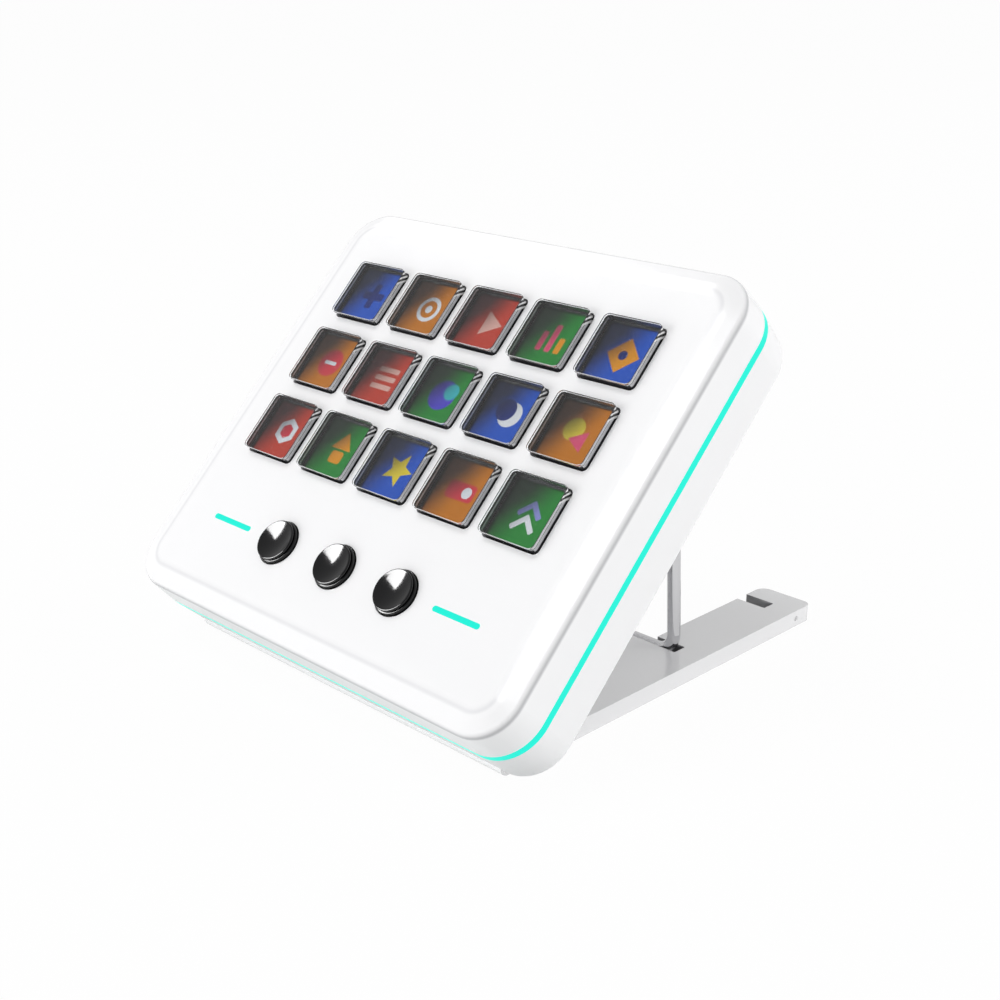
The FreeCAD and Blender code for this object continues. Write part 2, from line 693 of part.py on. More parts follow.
def make_shell_screws(maker):
    """Four screws that go in through the back and into the front shell's posts."""
    floor = "sizes.recess_floor"
    screws = []
    for where, centre in screw_places():
        head = maker.disc(f"screw_head_{where}", centre,
                          (f"{floor} + 0.1", f"{floor} + sizes.screw_head"), "sizes.screw_head_r")
        shank = maker.disc(f"screw_shank_{where}", centre,
                           (f"{floor} + sizes.screw_head - 0.2", "sizes.post_split + 7"),
                           "sizes.screw_shank_r")
        whole = maker.fuse(f"screw_{where}", [head, shank])
        drive = [maker.block(f"screw_slot_{where}_{turn}", centre, halves, (floor, f"{floor} + 0.8"))
                 for turn, halves in enumerate(((1.1, 0.25), (0.25, 1.1)))]
        screws.append(maker.cut(f"screw_cut_{where}", whole, drive))
    maker.keep(maker.group("screw_group", screws), "shell_screws", TILTED)


def make_stand_plate(maker):
    """Forked base plate: a full-width web at the hinge and two arms with a near and a far notch each."""
    body = maker.body("plate_block")
    side = "sizes.plate_side"
    half = "sizes.plate_thick / 2"
    middle = f"(sizes.pad_proud + {half})"
    levels = ("sizes.pad_proud", "sizes.pad_proud + sizes.plate_thick")
    maker.pad(body, "plate_pad", levels, (f"-{side}", side), ("-8", "sizes.plate_length"),
              "sizes.plate_corner")
    maker.window_pocket(body, "plate_gap", levels, ("-sizes.arm_inner", "sizes.arm_inner"),
                        ("sizes.near_notch", "sizes.plate_length + 12"), "0.8")
    for place, start in (("near", "sizes.near_notch"), ("far", "sizes.far_notch")):
        for turn, span in mirrored("(sizes.arm_inner - 2)", "sizes.notch_inner"):
            maker.window_pocket(body, f"notch_{place}_{turn}",
                                ("sizes.pad_proud + sizes.notch_floor", levels[1]), span,
                                (start, f"{start} + sizes.notch_width"), "0.35")
    tail = maker.box("plate_tail", (f"-{side} - 1", f"{side} + 1"), ("-12", "0"), ("-1", "6"))
    barrel = maker.rod("plate_barrel", (f"-{side}", side), "0", middle, half)
    whole = maker.fuse("plate_with_barrel", [maker.cut("plate_trimmed", body, [tail]), barrel])
    tools = []
    for turn, (low, high) in enumerate(((f"{side} - sizes.pin_reach", f"{side} + 1"),
                                        (f"-{side} - 1", f"-{side} + sizes.pin_reach"))):
        tools.append(maker.rod(f"plate_bore_{turn}", (low, high), "0", middle, "sizes.pin_r"))
    for side_name, sign in (("right", "1"), ("left", "-1")):
        flank = (f"{sign} * {side} - 0.5", f"{sign} * {side} + 0.5")
        tools.append(maker.rod(f"plate_dimple_{side_name}", flank, "sizes.dimple_place", middle,
                               "sizes.dimple_r"))
    for name, centre in pad_places():
        tools.append(maker.disc(f"pad_seat_{name}", centre, ("-1", "sizes.pad_thick"), "sizes.pad_r"))
    maker.keep(maker.cut("plate_piece", whole, tools), "stand_plate", STAND)


def pad_places():
    """Where the four rubber pads sit under the plate."""
    for side, sign in (("left", "-1"), ("right", "1")):
        for end in ("near", "far"):
            yield f"{side}_{end}", (f"{sign} * sizes.pad_column", f"sizes.pad_{end}")


def make_stand_pads(maker):
    """Four round rubber pads let into the underside of the plate."""
    levels = ("0", "sizes.pad_thick")
    pads = [maker.disc(f"pad_{name}", centre, levels, "sizes.pad_r") for name, centre in pad_places()]
    maker.keep(maker.group("pad_group", pads), "stand_pads", STAND)


def make_hinge_pins(maker):
    """Two steel pins that carry the plate in the cheeks of the back shell."""
    middle = "(sizes.pad_proud + sizes.plate_thick / 2)"
    reach = "sizes.pin_reach"
    spans = {
        "right": (f"sizes.plate_side - {reach}", f"sizes.plate_side + {reach} - 0.3"),
        "left": (f"-sizes.plate_side - {reach} + 0.3", f"-sizes.plate_side + {reach}"),
    }
    pins = [maker.rod(f"pin_{side}", span, "0", middle, "sizes.pin_r") for side, span in spans.items()]
    maker.keep(maker.group("pin_group", pins), "hinge_pins", STAND)


def make_prop_wire(maker):
    """One bent chrome wire: a crossbar in the near notches and two legs that lean in as they rise."""
    bar_y = maker.number("sizes.wire_base")
    bar_z = maker.number("sizes.pad_proud + sizes.wire_lift")
    reach = maker.number("sizes.wire_reach")
    foot = maker.number("sizes.wire_foot")
    lean = maker.number("sizes.wire_head") - foot
    bend = maker.number("sizes.wire_bend")
    radius = maker.number("sizes.wire_r")
    rise = Vector(lean, 0, reach)
    rise.normalize()
    turn = math.acos(-Vector(-1, 0, 0).dot(rise))
    tangent = bend * math.tan(turn / 2)

    def side_point(sign, along, up):
        start = Vector(foot, 0, 0) + rise * up - Vector(along, 0, 0)
        return Vector(sign * start.x, bar_y, bar_z + start.z)

    edges = []
    joints = {}
    for sign in (-1, 1):
        corner = Vector(foot, 0, 0)
        inward = Vector(-1, 0, 0)
        bisector = inward + rise
        bisector.normalize()
        centre = corner + bisector * (bend / math.sin((math.pi - turn) / 2))
        middle = centre - bisector * bend
        arc_middle = Vector(sign * middle.x, bar_y, bar_z + middle.z)
        low = side_point(sign, tangent, 0)
        high = side_point(sign, 0, tangent)
        top = side_point(sign, 0, reach)
        joints[sign] = (low, arc_middle, high, top)
    low, arc_middle, high, top = joints[-1]
    edges.append(Part.LineSegment(top, high).toShape())
    edges.append(Part.Arc(high, arc_middle, low).toShape())
    edges.append(Part.LineSegment(low, joints[1][0]).toShape())
    low, arc_middle, high, top = joints[1]
    edges.append(Part.Arc(low, arc_middle, high).toShape())
    edges.append(Part.LineSegment(high, top).toShape())
    path = Part.Wire(edges)
    start = joints[-1][3]
    direction = joints[-1][2] - start
    section = Part.Wire(Part.Circle(start, direction, radius).toShape())
    wire = maker.document.addObject("Part::Feature", "wire_piece")
    wire.Shape = path.makePipeShell([section], True, False)
    expected = path.Length * math.pi * radius ** 2
    print(f"prop wire volume {wire.Shape.Volume:.1f}, section times length {expected:.1f}")
    maker.keep(wire, "prop_wire", STAND)


def place_pieces(maker):
    """Tilt the keypad, set the stand under it and bring the base's centre to zero."""
    tilt = FreeCAD.Rotation(Vector(1, 0, 0), maker.number("sizes.tilt_angle"))
    hinge = tilt.multVec(Vector(0, maker.number("sizes.hinge_y"), maker.number("sizes.hinge_z")))
    hinge_up = maker.number("sizes.pad_proud + sizes.plate_thick / 2")
    lift = Vector(0, -hinge.y, hinge_up - hinge.z)
    frames = {
        TILTED: FreeCAD.Placement(lift, tilt),
        STAND: FreeCAD.Placement(Vector(), FreeCAD.Rotation()),
    }
    low = math.inf
    high = -math.inf
    for piece, frame in maker.pieces:
        piece.Placement = frames[frame]
        box = piece.Shape.optimalBoundingBox()
        low = min(low, box.YMin)
        high = max(high, box.YMax)
    centring = Vector(0, -(low + high) / 2, 0)
    for piece, frame in maker.pieces:
        piece.Placement = FreeCAD.Placement(frames[frame].Base + centring, frames[frame].Rotation)
    maker.document.recompute()
    origin = frames[TILTED].Base + centring
    print(f"face frame at {origin.y:.4f}, {origin.z:.4f}; hinge at {centring.y:.4f}, {hinge_up:.4f}")


def export_pieces(maker):
    """Check every object and write one file per piece."""
    for item in maker.document.Objects:
        if "Invalid" in item.State or "Error" in item.State:
            raise RuntimeError(f"{item.Label} failed")
    os.makedirs("parts", exist_ok=True)
    for piece, _ in maker.pieces:
        if piece.Shape.isNull() or not piece.Shape.isValid():
            raise RuntimeError(f"{piece.Label} has no valid shape")
        piece.Shape.exportStep(f"parts/{piece.Label}.step")
    print(f"{len(maker.pieces)} pieces")


def main():
    """Make every piece, place it and write it."""
    maker = Maker(FreeCAD.newDocument("keypad"))
    make_front_shell(maker)
    make_rear_shell(maker)
    make_light_ring(maker)
    make_light_bars(maker)
    make_keycaps(maker)
    make_buttons(maker)
    make_key_layers(maker)
    make_screen(maker)
    make_boards(maker)
    make_switches(maker)
    make_chips(maker)
    make_lamps(maker)
    make_ribbon(maker)
    make_socket(maker)
    make_shell_screws(maker)
    make_stand_plate(maker)
    make_stand_pads(maker)
    make_hinge_pins(maker)
    make_prop_wire(maker)
    maker.document.recompute()
    place_pieces(maker)
    export_pieces(maker)


main()
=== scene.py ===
"""Looks of a desk macro keypad on its folding wire-propped stand.

Each sub-assembly is a class. Its sizes are dataclass fields in millimetres, and its methods build
the shapes in the frame that the piece was drawn in, then dress them. A finish is a small frozen
class that builds one node material.
"""

import json
import logging
import math
from collections.abc import Callable, Iterable, Mapping, Sequence
from dataclasses import dataclass
from enum import Enum

import bmesh
import bpy
from bmesh.types import BMEdge, BMesh, BMFace, BMVert
from bpy.types import Material, Node, NodeSocket, NodeTree, Object
from mathutils import Color, Matrix, Vector

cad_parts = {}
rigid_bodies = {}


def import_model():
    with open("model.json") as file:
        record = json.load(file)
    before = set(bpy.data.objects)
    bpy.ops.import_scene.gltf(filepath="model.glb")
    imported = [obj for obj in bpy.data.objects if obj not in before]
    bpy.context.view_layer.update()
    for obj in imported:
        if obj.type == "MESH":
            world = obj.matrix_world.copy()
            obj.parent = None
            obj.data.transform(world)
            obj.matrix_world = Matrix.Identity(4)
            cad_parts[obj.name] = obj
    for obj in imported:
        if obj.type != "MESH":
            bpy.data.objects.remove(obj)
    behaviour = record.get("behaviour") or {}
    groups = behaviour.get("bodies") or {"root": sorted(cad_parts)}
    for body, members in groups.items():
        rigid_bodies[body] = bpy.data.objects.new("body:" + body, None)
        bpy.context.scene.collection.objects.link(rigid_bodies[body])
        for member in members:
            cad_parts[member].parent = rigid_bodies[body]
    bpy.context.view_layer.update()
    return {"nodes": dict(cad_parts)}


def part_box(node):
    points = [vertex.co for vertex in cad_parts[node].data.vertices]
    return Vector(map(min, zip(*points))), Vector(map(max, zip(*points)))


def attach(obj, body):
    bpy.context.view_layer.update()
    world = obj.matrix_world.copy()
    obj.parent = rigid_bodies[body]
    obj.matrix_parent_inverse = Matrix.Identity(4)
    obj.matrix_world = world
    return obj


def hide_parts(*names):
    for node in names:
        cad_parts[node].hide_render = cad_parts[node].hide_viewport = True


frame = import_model()

LOG = logging.getLogger("keypad")
MM = 0.001
TILT = math.radians(45)
FACE_MIDDLE_MM = (0.0, -16.3328, 62.6031)

Point = tuple[float, float, float]
Feeds = Mapping[str | int, NodeSocket | float | Sequence[float]]


class Space(Enum):
    """The frames that pieces are drawn in, as matrices into the world's metres."""

    FACE = Matrix.Scale(MM, 4) @ (Matrix.Translation(FACE_MIDDLE_MM) @ Matrix.Rotation(TILT, 4, "X"))
    WORLD = Matrix.Identity(4)


def linear(code: str, share: float = 1.0) -> tuple[float, float, float, float]:
    """Turn a written colour into scene light.

    Args:
        code: Six hexadecimal digits as a screen shows them.
        share: How much of the light is kept.

    Returns:
        Linear red, green and blue, and an alpha of one.
    """
    light = Color([value / 255 for value in bytes.fromhex(code)]).from_srgb_to_scene_linear()
    return (*(value * share for value in light), 1.0)


class Wiring:
    """A node tree that is being put together."""

    def __init__(self, tree: NodeTree) -> None:
        """Start with a cleared tree.

        Args:
            tree: The tree of a material, a world or a group.
        """
        tree.nodes.clear()
        self.tree = tree

    def add(self, kind: str, feeds: Feeds | None = None, **settings: object) -> Node:
        """Add one node.

        Args:
            kind: The node's type name.
            feeds: What feeds its inputs.
            **settings: Properties to set on it.

        Returns:
            The new node.
        """
        node = self.tree.nodes.new(kind)
        for name, value in settings.items():
            setattr(node, name, value)
        self.feed(node, feeds or {})
        return node

    def feed(self, node: Node, feeds: Feeds) -> None:
        """Link or set some of a node's inputs.

        Args:
            node: The node.
            feeds: For an input's name or place, the output that feeds it or its plain value.
        """
        for key, value in feeds.items():
            if isinstance(value, NodeSocket):
                self.tree.links.new(value, node.inputs[key])
            else:
                node.inputs[key].default_value = value

    def math(self, operation: str, *values: NodeSocket | float) -> NodeSocket:
        """Work out one sum of sockets and numbers."""
        return self.add("ShaderNodeMath", dict(enumerate(values)), operation=operation).outputs[0]

    def noise(self, vector: NodeSocket, scale: NodeSocket | float, detail: float) -> NodeSocket:
        """Add a noise pattern.

        Args:
            vector: Where the pattern is read.
            scale: Size of the pattern.
            detail: How many finer layers it has.

        Returns:
            The pattern's value socket.
        """
        feeds = {"Vector": vector, "Scale": scale, "Detail": detail}
        return self.add("ShaderNodeTexNoise", feeds).outputs["Fac"]

    def mix(self, factor: NodeSocket, low: NodeSocket | Sequence[float],
            high: Sequence[float]) -> NodeSocket:
        """Mix two colours.

        Args:
            factor: How much of the second colour shows.
            low: First colour.
            high: Second colour.

        Returns:
            The mixed colour's socket.
        """
        colour_places = {0: factor, 6: low, 7: high}
        return self.add("ShaderNodeMix", colour_places, data_type="RGBA").outputs[2]

    def ramp(self, value: NodeSocket, start: float, end: float, low: NodeSocket | float,
             high: float) -> NodeSocket:
        """Turn a value into a smooth step.

        Args:
            value: What the step follows.
            start: Where the step begins.
            end: Where it ends.
            low: Result before it.
            high: Result after it.

        Returns:
            The step's socket.
        """
        feeds = dict(enumerate((value, start, end, low, high)))
        return self.add("ShaderNodeMapRange", feeds, interpolation_type="SMOOTHSTEP").outputs["Result"]


class SharedEffect:
    """A shader node group that several finishes use."""

    name = "effect"
    inputs: tuple[str, ...] = ()
    outputs: tuple[str, ...] = ()

    def tree(self) -> NodeTree:
        """Give the group, built on its first use.

        Returns:
            The shared node tree.
        """
        found = bpy.data.node_groups.get(self.name)
        if found is not None:
            return found
        tree = bpy.data.node_groups.new(self.name, "ShaderNodeTree")
        for direction, labels in (("INPUT", self.inputs), ("OUTPUT", self.outputs)):
            for label in labels:
                kind = "NodeSocketVector" if label == "Vector" else "NodeSocketFloat"
                tree.interface.new_socket(label, in_out=direction, socket_type=kind)
        wiring = Wiring(tree)
        wiring.add("NodeGroupOutput", self.results(wiring, wiring.add("NodeGroupInput")))
        return tree

    def results(self, wiring: Wiring, given: Node) -> Feeds:
        """Lay out the group's inside and give what feeds its outputs."""
        raise NotImplementedError

    def placed(self, wiring: Wiring, vector: NodeSocket, **values: float) -> Node:
        """Put the group into a material.

        Args:
            wiring: The material's tree.
            vector: Where the pattern is read.
            **values: The other inputs by name.

        Returns:
            The group's node.
        """
        return wiring.add("ShaderNodeGroup", {"Vector": vector, **values}, node_tree=self.tree())


class MouldedSkin(SharedEffect):
    """Clouded tone, uneven gloss and a fine grain, as a moulded or rolled surface has."""

    name = "moulded_skin"
    inputs = ("Vector", "Grain", "Roughness", "Spread")
    outputs = ("Tone", "Roughness", "Height")
    cloud_share = 0.03
    patch_share = 0.12
    least_roughness = 0.02

    def results(self, wiring: Wiring, given: Node) -> Feeds:
        """Lay out three noise layers: clouds, gloss patches and grain.

        Args:
            wiring: The group's tree.
            given: Its input node.

        Returns:
            What feeds the tone, the roughness and the height.
        """
        vector, grain, roughness, spread = given.outputs[:4]
        clouds = wiring.noise(vector, wiring.math("MULTIPLY", grain, self.cloud_share), 2.0)
        patches = wiring.noise(vector, wiring.math("MULTIPLY", grain, self.patch_share), 3.0)
        swing = wiring.math("MULTIPLY", wiring.math("SUBTRACT", patches, 0.5), spread)
        rough = wiring.math("MAXIMUM", wiring.math("ADD", roughness, swing), self.least_roughness)
        return {"Tone": clouds, "Roughness": rough, "Height": wiring.noise(vector, grain, 4.0)}


class PaintedLipShade(SharedEffect):
    """A soft band of painted shade at one depth below the keypad's face, where its edge turns down."""

    name = "painted_lip_shade"
    inputs = ("Vector", "Depth", "Width")
    outputs = ("Mask",)

    def results(self, wiring: Wiring, given: Node) -> Feeds:
        """Measure along the face's normal and fade away from the band's middle.

        Args:
            wiring: The group's tree.
            given: Its input node.

        Returns:
            What feeds the mask.
        """
        vector, depth, width = given.outputs[:3]
        ends = {0: vector, 1: (0.0, -math.sin(TILT), math.cos(TILT))}
        height = wiring.add("ShaderNodeVectorMath", ends, operation="DOT_PRODUCT").outputs["Value"]
        gap = wiring.math("ABSOLUTE", wiring.math("SUBTRACT", height, depth))
        return {"Mask": wiring.ramp(wiring.math("DIVIDE", gap, width), 0.0, 1.0, 1.0, 0.0)}


class PaintedCapShade(SharedEffect):
    """Painted shade that darkens a lit picture towards the upper left corner of its key."""

    name = "painted_cap_shade"
    inputs = ("Vector", "Floor")
    outputs = ("Light",)
    down_share = 0.6
    cloud_scale = 2.2
    cloud_share = 0.18
    dark_until = 0.42
    full_from = 1.08

    def results(self, wiring: Wiring, given: Node) -> Feeds:
        """Lay out a soft diagonal ramp of painted shade with a slow cloud over it.

        Args:
            wiring: The group's tree.
            given: Its input node.

        Returns:
            What feeds the light.
        """
        vector, floor = given.outputs[:2]
        across, along, _ = wiring.add("ShaderNodeSeparateXYZ", {0: vector}).outputs
        down = wiring.math("MULTIPLY", wiring.math("SUBTRACT", 1.0, along), self.down_share)
        cloud = wiring.math("MULTIPLY", wiring.noise(vector, self.cloud_scale, 1.0), self.cloud_share)
        slope = wiring.math("ADD", wiring.math("ADD", across, down), cloud)
        return {"Light": wiring.ramp(slope, self.dark_until, self.full_from, floor, 1.0)}


@dataclass(frozen=True)
class Finish:
    """What every finish shares: its name and the shape of its material."""

    name: str

    def build(self) -> Material:
        """Make the material.

        Returns:
            A node material under the finish's name.
        """
        material = bpy.data.materials.new(self.name)
        material.use_nodes = True
        wiring = Wiring(material.node_tree)
        shader = wiring.add("ShaderNodeBsdfPrincipled", self.dress(wiring))
        wiring.add("ShaderNodeOutputMaterial", {"Surface": shader.outputs["BSDF"]})
        return material

    def dress(self, wiring: Wiring) -> Feeds:
        """Give what feeds the shader's inputs."""
        raise NotImplementedError

    @staticmethod
    def place(wiring: Wiring) -> NodeSocket:
        """Object coordinates, in metres."""
        return wiring.add("ShaderNodeTexCoord").outputs["Object"]

    @staticmethod
    def emboss(wiring: Wiring, height: NodeSocket, depth_mm: float) -> NodeSocket:
        """Give the normal that a height pattern of one depth makes."""
        feeds = {"Strength": 0.6, "Distance": depth_mm * MM, "Height": height}
        return wiring.add("ShaderNodeBump", feeds).outputs["Normal"]


@dataclass(frozen=True)
class Moulded(Finish):
    """Plastic, rubber or plain metal with a lightly clouded tone and a fine grain."""

    colour: str = "808080"
    roughness: float = 0.4
    shade: float = 0.96
    spread: float = 0.08
    grain_mm: float = 0.6
    relief_mm: float = 0.01
    metallic: float = 0.0
    specular: float = 0.5

    def dress(self, wiring: Wiring) -> Feeds:
        """Join the skin effect to colour, gloss and normal.

        Args:
            wiring: The material's tree.

        Returns:
            What feeds the shader's inputs.
        """
        skin = MouldedSkin().placed(wiring, self.place(wiring), Grain=1 / (self.grain_mm * MM),
                                    Roughness=self.roughness, Spread=self.spread)
        return {
            "Base Color": wiring.mix(skin.outputs["Tone"], linear(self.colour, self.shade),
                                     linear(self.colour)),
            "Roughness": skin.outputs["Roughness"],
            "Metallic": self.metallic,
            "Specular IOR Level": self.specular,
            "Normal": self.emboss(wiring, skin.outputs["Height"], self.relief_mm),
        }


@dataclass(frozen=True)
class MouldedWithPaintedShade(Moulded):
    """Moulded plastic with painted shade where the face's roll starts and where its edge turns down.

    Each band of painted shade is its depth below the face, its half width and its colour.
    """

    bands: tuple[tuple[float, float, str], ...] = ((-2.23, 0.13, "E8E8EA"), (-4.1, 0.8, "C4C4C7"))
    face_height_mm: float = 55.8163

    def dress(self, wiring: Wiring) -> Feeds:
        """Dress as moulded plastic, then lay each band of painted shade over the colour.

        Args:
            wiring: The material's tree.

        Returns:
            What feeds the shader's inputs.
        """
        feeds = dict(super().dress(wiring))
        # painted shade: each band darkens the base colour at one depth of the roll and lip
        for level, width, colour in self.bands:
            band = PaintedLipShade().placed(wiring, self.place(wiring), Width=width * MM,
                                    Depth=(self.face_height_mm + level) * MM)
            feeds["Base Color"] = wiring.mix(band.outputs["Mask"], feeds["Base Color"], linear(colour))
        return feeds


@dataclass(frozen=True)
class Drawn(Finish):
    """Drawn or pressed metal whose fine lines run along one axis."""

    colour: str = "C8C8CC"
    roughness: float = 0.15
    stretch: Point = (1.0, 1.0, 0.05)
    line_mm: float = 0.15
    relief_mm: float = 0.003
    shade: float = 0.9

    def dress(self, wiring: Wiring) -> Feeds:
        """Stretch a noise along the lines and let it touch tone, gloss and normal.

        Args:
            wiring: The material's tree.

        Returns:
            What feeds the shader's inputs.
        """
        lines = wiring.add("ShaderNodeMapping", {"Vector": self.place(wiring), "Scale": self.stretch})
        skin = MouldedSkin().placed(wiring, lines.outputs["Vector"], Grain=1 / (self.line_mm * MM),
                                    Roughness=self.roughness, Spread=0.08)
        return {
            "Base Color": wiring.mix(skin.outputs["Tone"], linear(self.colour, self.shade),
                                     linear(self.colour)),
            "Roughness": skin.outputs["Roughness"],
            "Metallic": 1.0,
            "Normal": self.emboss(wiring, skin.outputs["Height"], self.relief_mm),
        }


@dataclass(frozen=True)
class Clear(Finish):
    """Clear acrylic, or its frosted underside."""

    tint: str = "FCFEFF"
    roughness: float = 0.0
    index: float = 1.49
    specular: float = 0.25

    def dress(self, wiring: Wiring) -> Feeds:
        """Make a transmitting shader with a faintly uneven gloss.

        Args:
            wiring: The material's tree.

        Returns:
            What feeds the shader's inputs.
        """
        skin = MouldedSkin().placed(wiring, self.place(wiring), Grain=800.0, Roughness=self.roughness,
                                    Spread=0.01)
        return {
            "Base Color": linear(self.tint),
            "Roughness": skin.outputs["Roughness"],
            "IOR": self.index,
            "Specular IOR Level": self.specular,
            "Transmission Weight": 1.0,
        }


@dataclass(frozen=True)
class LightGuide(Finish):
    """Lit coloured guide, slightly brighter in its middle patches."""

    colour: str = "26F5DD"
    strength: float = 1.0
    shade: float = 0.93
    unlit: float = 0.02
    specular: float = 0.08

    def dress(self, wiring: Wiring) -> Feeds:
        """Glow with a slow brightness swing over a satin skin.

        Args:
            wiring: The material's tree.

        Returns:
            What feeds the shader's inputs.
        """
        skin = MouldedSkin().placed(wiring, self.place(wiring), Grain=1200.0, Roughness=0.35, Spread=0.08)
        return {
            "Base Color": linear(self.colour, self.unlit),
            "Roughness": skin.outputs["Roughness"],
            "Specular IOR Level": self.specular,
            "Emission Color": wiring.mix(skin.outputs["Tone"], linear(self.colour, self.shade),
                                         linear(self.colour)),
            "Emission Strength": self.strength,
        }


@dataclass(frozen=True)
class ScreenInk(Finish):
    """One colour of the pictures on the screen, lit from behind."""

    colour: str = "FFFFFF"
    strength: float = 0.7
    # floor and dark set how deep the painted shade at the picture's upper left goes
    floor: float = 0.03
    dark: tuple[float, float, float, float] = (0.02, 0.02, 0.022, 1.0)
    unlit: float = 0.03
    specular: float = 0.05
    roughness: float = 0.4

    def dress(self, wiring: Wiring) -> Feeds:
        """Glow in the ink's colour, dimmed towards the key's upper left by painted shade.

        Args:
            wiring: The material's tree.

        Returns:
            What feeds the shader's inputs.
        """
        chart = wiring.add("ShaderNodeTexCoord").outputs["UV"]
        # painted shade over the picture, darkest at its upper left
        painted_shade = PaintedCapShade().placed(wiring, chart, Floor=self.floor)
        return {
            "Base Color": linear(self.colour, self.unlit),
            "Roughness": self.roughness,
            "Specular IOR Level": self.specular,
            "Emission Color": wiring.mix(painted_shade.outputs["Light"], self.dark, linear(self.colour)),
            "Emission Strength": self.strength,
        }


@dataclass(frozen=True)
class Circuit(Finish):
    """Solder-masked board with paler traces under the mask."""

    colour: str = "1C5B3C"
    trace: str = "3C8C5C"
    shade: float = 0.85
    density: float = 260.0
    trace_width: float = 0.03
    roughness: float = 0.35
    relief_mm: float = 0.02

    def dress(self, wiring: Wiring) -> Feeds:
        """Lay a brick grid as traces, in line with the tilted board.

        Args:
            wiring: The material's tree.

        Returns:
            What feeds the shader's inputs.
        """
        board = wiring.add("ShaderNodeMapping", {
            "Vector": self.place(wiring),
            "Rotation": (-TILT, 0.0, 0.0),
            "Scale": (self.density, self.density, self.density),
        })
        bricks = wiring.add("ShaderNodeTexBrick", {
            "Vector": board.outputs["Vector"],
            "Color1": linear(self.colour),
            "Color2": linear(self.colour, self.shade),
            "Mortar": linear(self.trace),
            "Mortar Size": self.trace_width,
        })
        return {
            "Base Color": bricks.outputs["Color"],
            "Roughness": self.roughness,
            "Normal": self.emboss(wiring, bricks.outputs["Fac"], self.relief_mm),
        }


class Look(Enum):
    """Every finish on the object, apart from the pictures' inks."""

    # the shell's material carries painted shade bands at the face's roll and lip
    SHELL = MouldedWithPaintedShade("white_shell", colour="F8F8F9", roughness=0.24, shade=0.985, spread=0.06,
                   grain_mm=0.8, relief_mm=0.004)
    BACK = Moulded("white_back", colour="F4F4F5", roughness=0.42, shade=0.98, grain_mm=0.45, relief_mm=0.02)
    GUIDE_LIGHT = LightGuide("cyan_guide")
    CLEAR = Clear("clear_cap")
    FROSTED = Clear("frosted_underside", roughness=0.5, index=1.12)
    LINER = Moulded("dark_liner", colour="232326", roughness=0.35, shade=0.8, grain_mm=0.4)
    # dark coat on the caps' lower walls; in the facets and the right wall's bands it also stands for painted
    # dark reflection
    SKIRT = Moulded("dark_skirt", colour="3A3A3D", roughness=0.12, shade=0.75, grain_mm=0.5, relief_mm=0.001)
    # painted highlight: opaque white facets on a cap's upper right walls
    PAINTED_GLINT = Moulded("painted_glint_facet", colour="FFFFFF", roughness=0.1, shade=0.97, grain_mm=0.5,
                    relief_mm=0.001)
    # painted reflection: a light grey band on a cap's walls
    SMOKE = Moulded("painted_reflection_wall", colour="DCDCE0", roughness=0.15, shade=0.85, grain_mm=0.5,
                    relief_mm=0.001)
    # painted highlight: a bright line along a cap's edge and in its bands
    RIM = Moulded("polished_rim", colour="F8F8FA", roughness=0.08, shade=0.9, grain_mm=0.5,
                  relief_mm=0.001, metallic=0.5)
    BUTTON = Moulded("button_gloss", colour="0A0A0C", roughness=0.12, shade=0.8, grain_mm=0.3,
                     relief_mm=0.011, specular=0.28)
    BLACK = Moulded("black_plastic", colour="18181A", roughness=0.5, shade=0.8, grain_mm=0.4)
    RUBBER = Moulded("soft_rubber", colour="2B2B2D", roughness=0.75, shade=0.8, grain_mm=0.5, relief_mm=0.03)
    SILICONE = Moulded("silicone_mat", colour="3A3A3D", roughness=0.6, shade=0.85)
    STAND = Moulded("stand_satin", colour="E0E0E1", roughness=0.16, shade=0.985, spread=0.05,
                    grain_mm=0.7, relief_mm=0.002, metallic=0.35)
    # painted shade: notch walls that face away from the lamps are coloured dark grey
    SHADED_NOTCH = Moulded("stand_notch_painted_shade", colour="88888A", roughness=0.3, shade=0.9, spread=0.05,
                    grain_mm=0.5, relief_mm=0.004)
    CHROME = Drawn("chrome_wire", colour="D8D8DA", roughness=0.06)
    STEEL = Drawn("plated_steel", colour="B8B8BA", roughness=0.28, stretch=(1.0, 0.08, 1.0))
    TRAY = Drawn("pressed_tray", colour="C2C2C4", roughness=0.35, stretch=(0.05, 1.0, 1.0))
    BOARD = Circuit("board_mask")
    CHIP = Moulded("chip_case", colour="1B1B1D", roughness=0.55, shade=0.85, grain_mm=0.2)
    LAMP = Moulded("lamp_case", colour="EDEBD8", roughness=0.3, shade=0.9, grain_mm=0.2)
    RIBBON = Moulded("ribbon_film", colour="A8661E", roughness=0.3, shade=0.8, grain_mm=1.2)
    GLASS_FRONT = Moulded("screen_front", colour="0E1014", roughness=0.1, shade=0.8, grain_mm=2.0,
                          relief_mm=0.001)

    @property
    def finish(self) -> Finish:
        """The finish that builds its material."""
        return self.value


class Ink(Enum):
    """Colours of the pictures."""

    BLUE = "1E58C8"
    NAVY = "1C2F7C"
    ORANGE = "CC7A12"
    AMBER = "E89A1E"
    RED = "C8402E"
    CRIMSON = "D83A4A"
    GREEN = "1E8C34"
    PINK = "E2557A"
    BLUSH = "E2B0A4"
    WHITE = "E8ECF2"
    YELLOW = "E8D23A"
    CYAN = "3AB8C0"
    VIOLET = "5048C8"
    LAVENDER = "9098D8"

    @property
    def finish(self) -> Finish:
        """The finish that builds its material."""
        return ScreenInk(f"ink_{self.name.lower()}", colour=self.value)


class Palette:
    """Builds each finish once and hands out its material."""

    def __init__(self) -> None:
        """Start with nothing built."""
        self.made: dict[Look | Ink, Material] = {}

    def of(self, look: Look | Ink) -> Material:
        """Give a look's material.

        Args:
            look: One of the object's finishes.

        Returns:
            The material, built on its first use.
        """
        if look not in self.made:
            self.made[look] = look.finish.build()
        return self.made[look]


PALETTE = Palette()


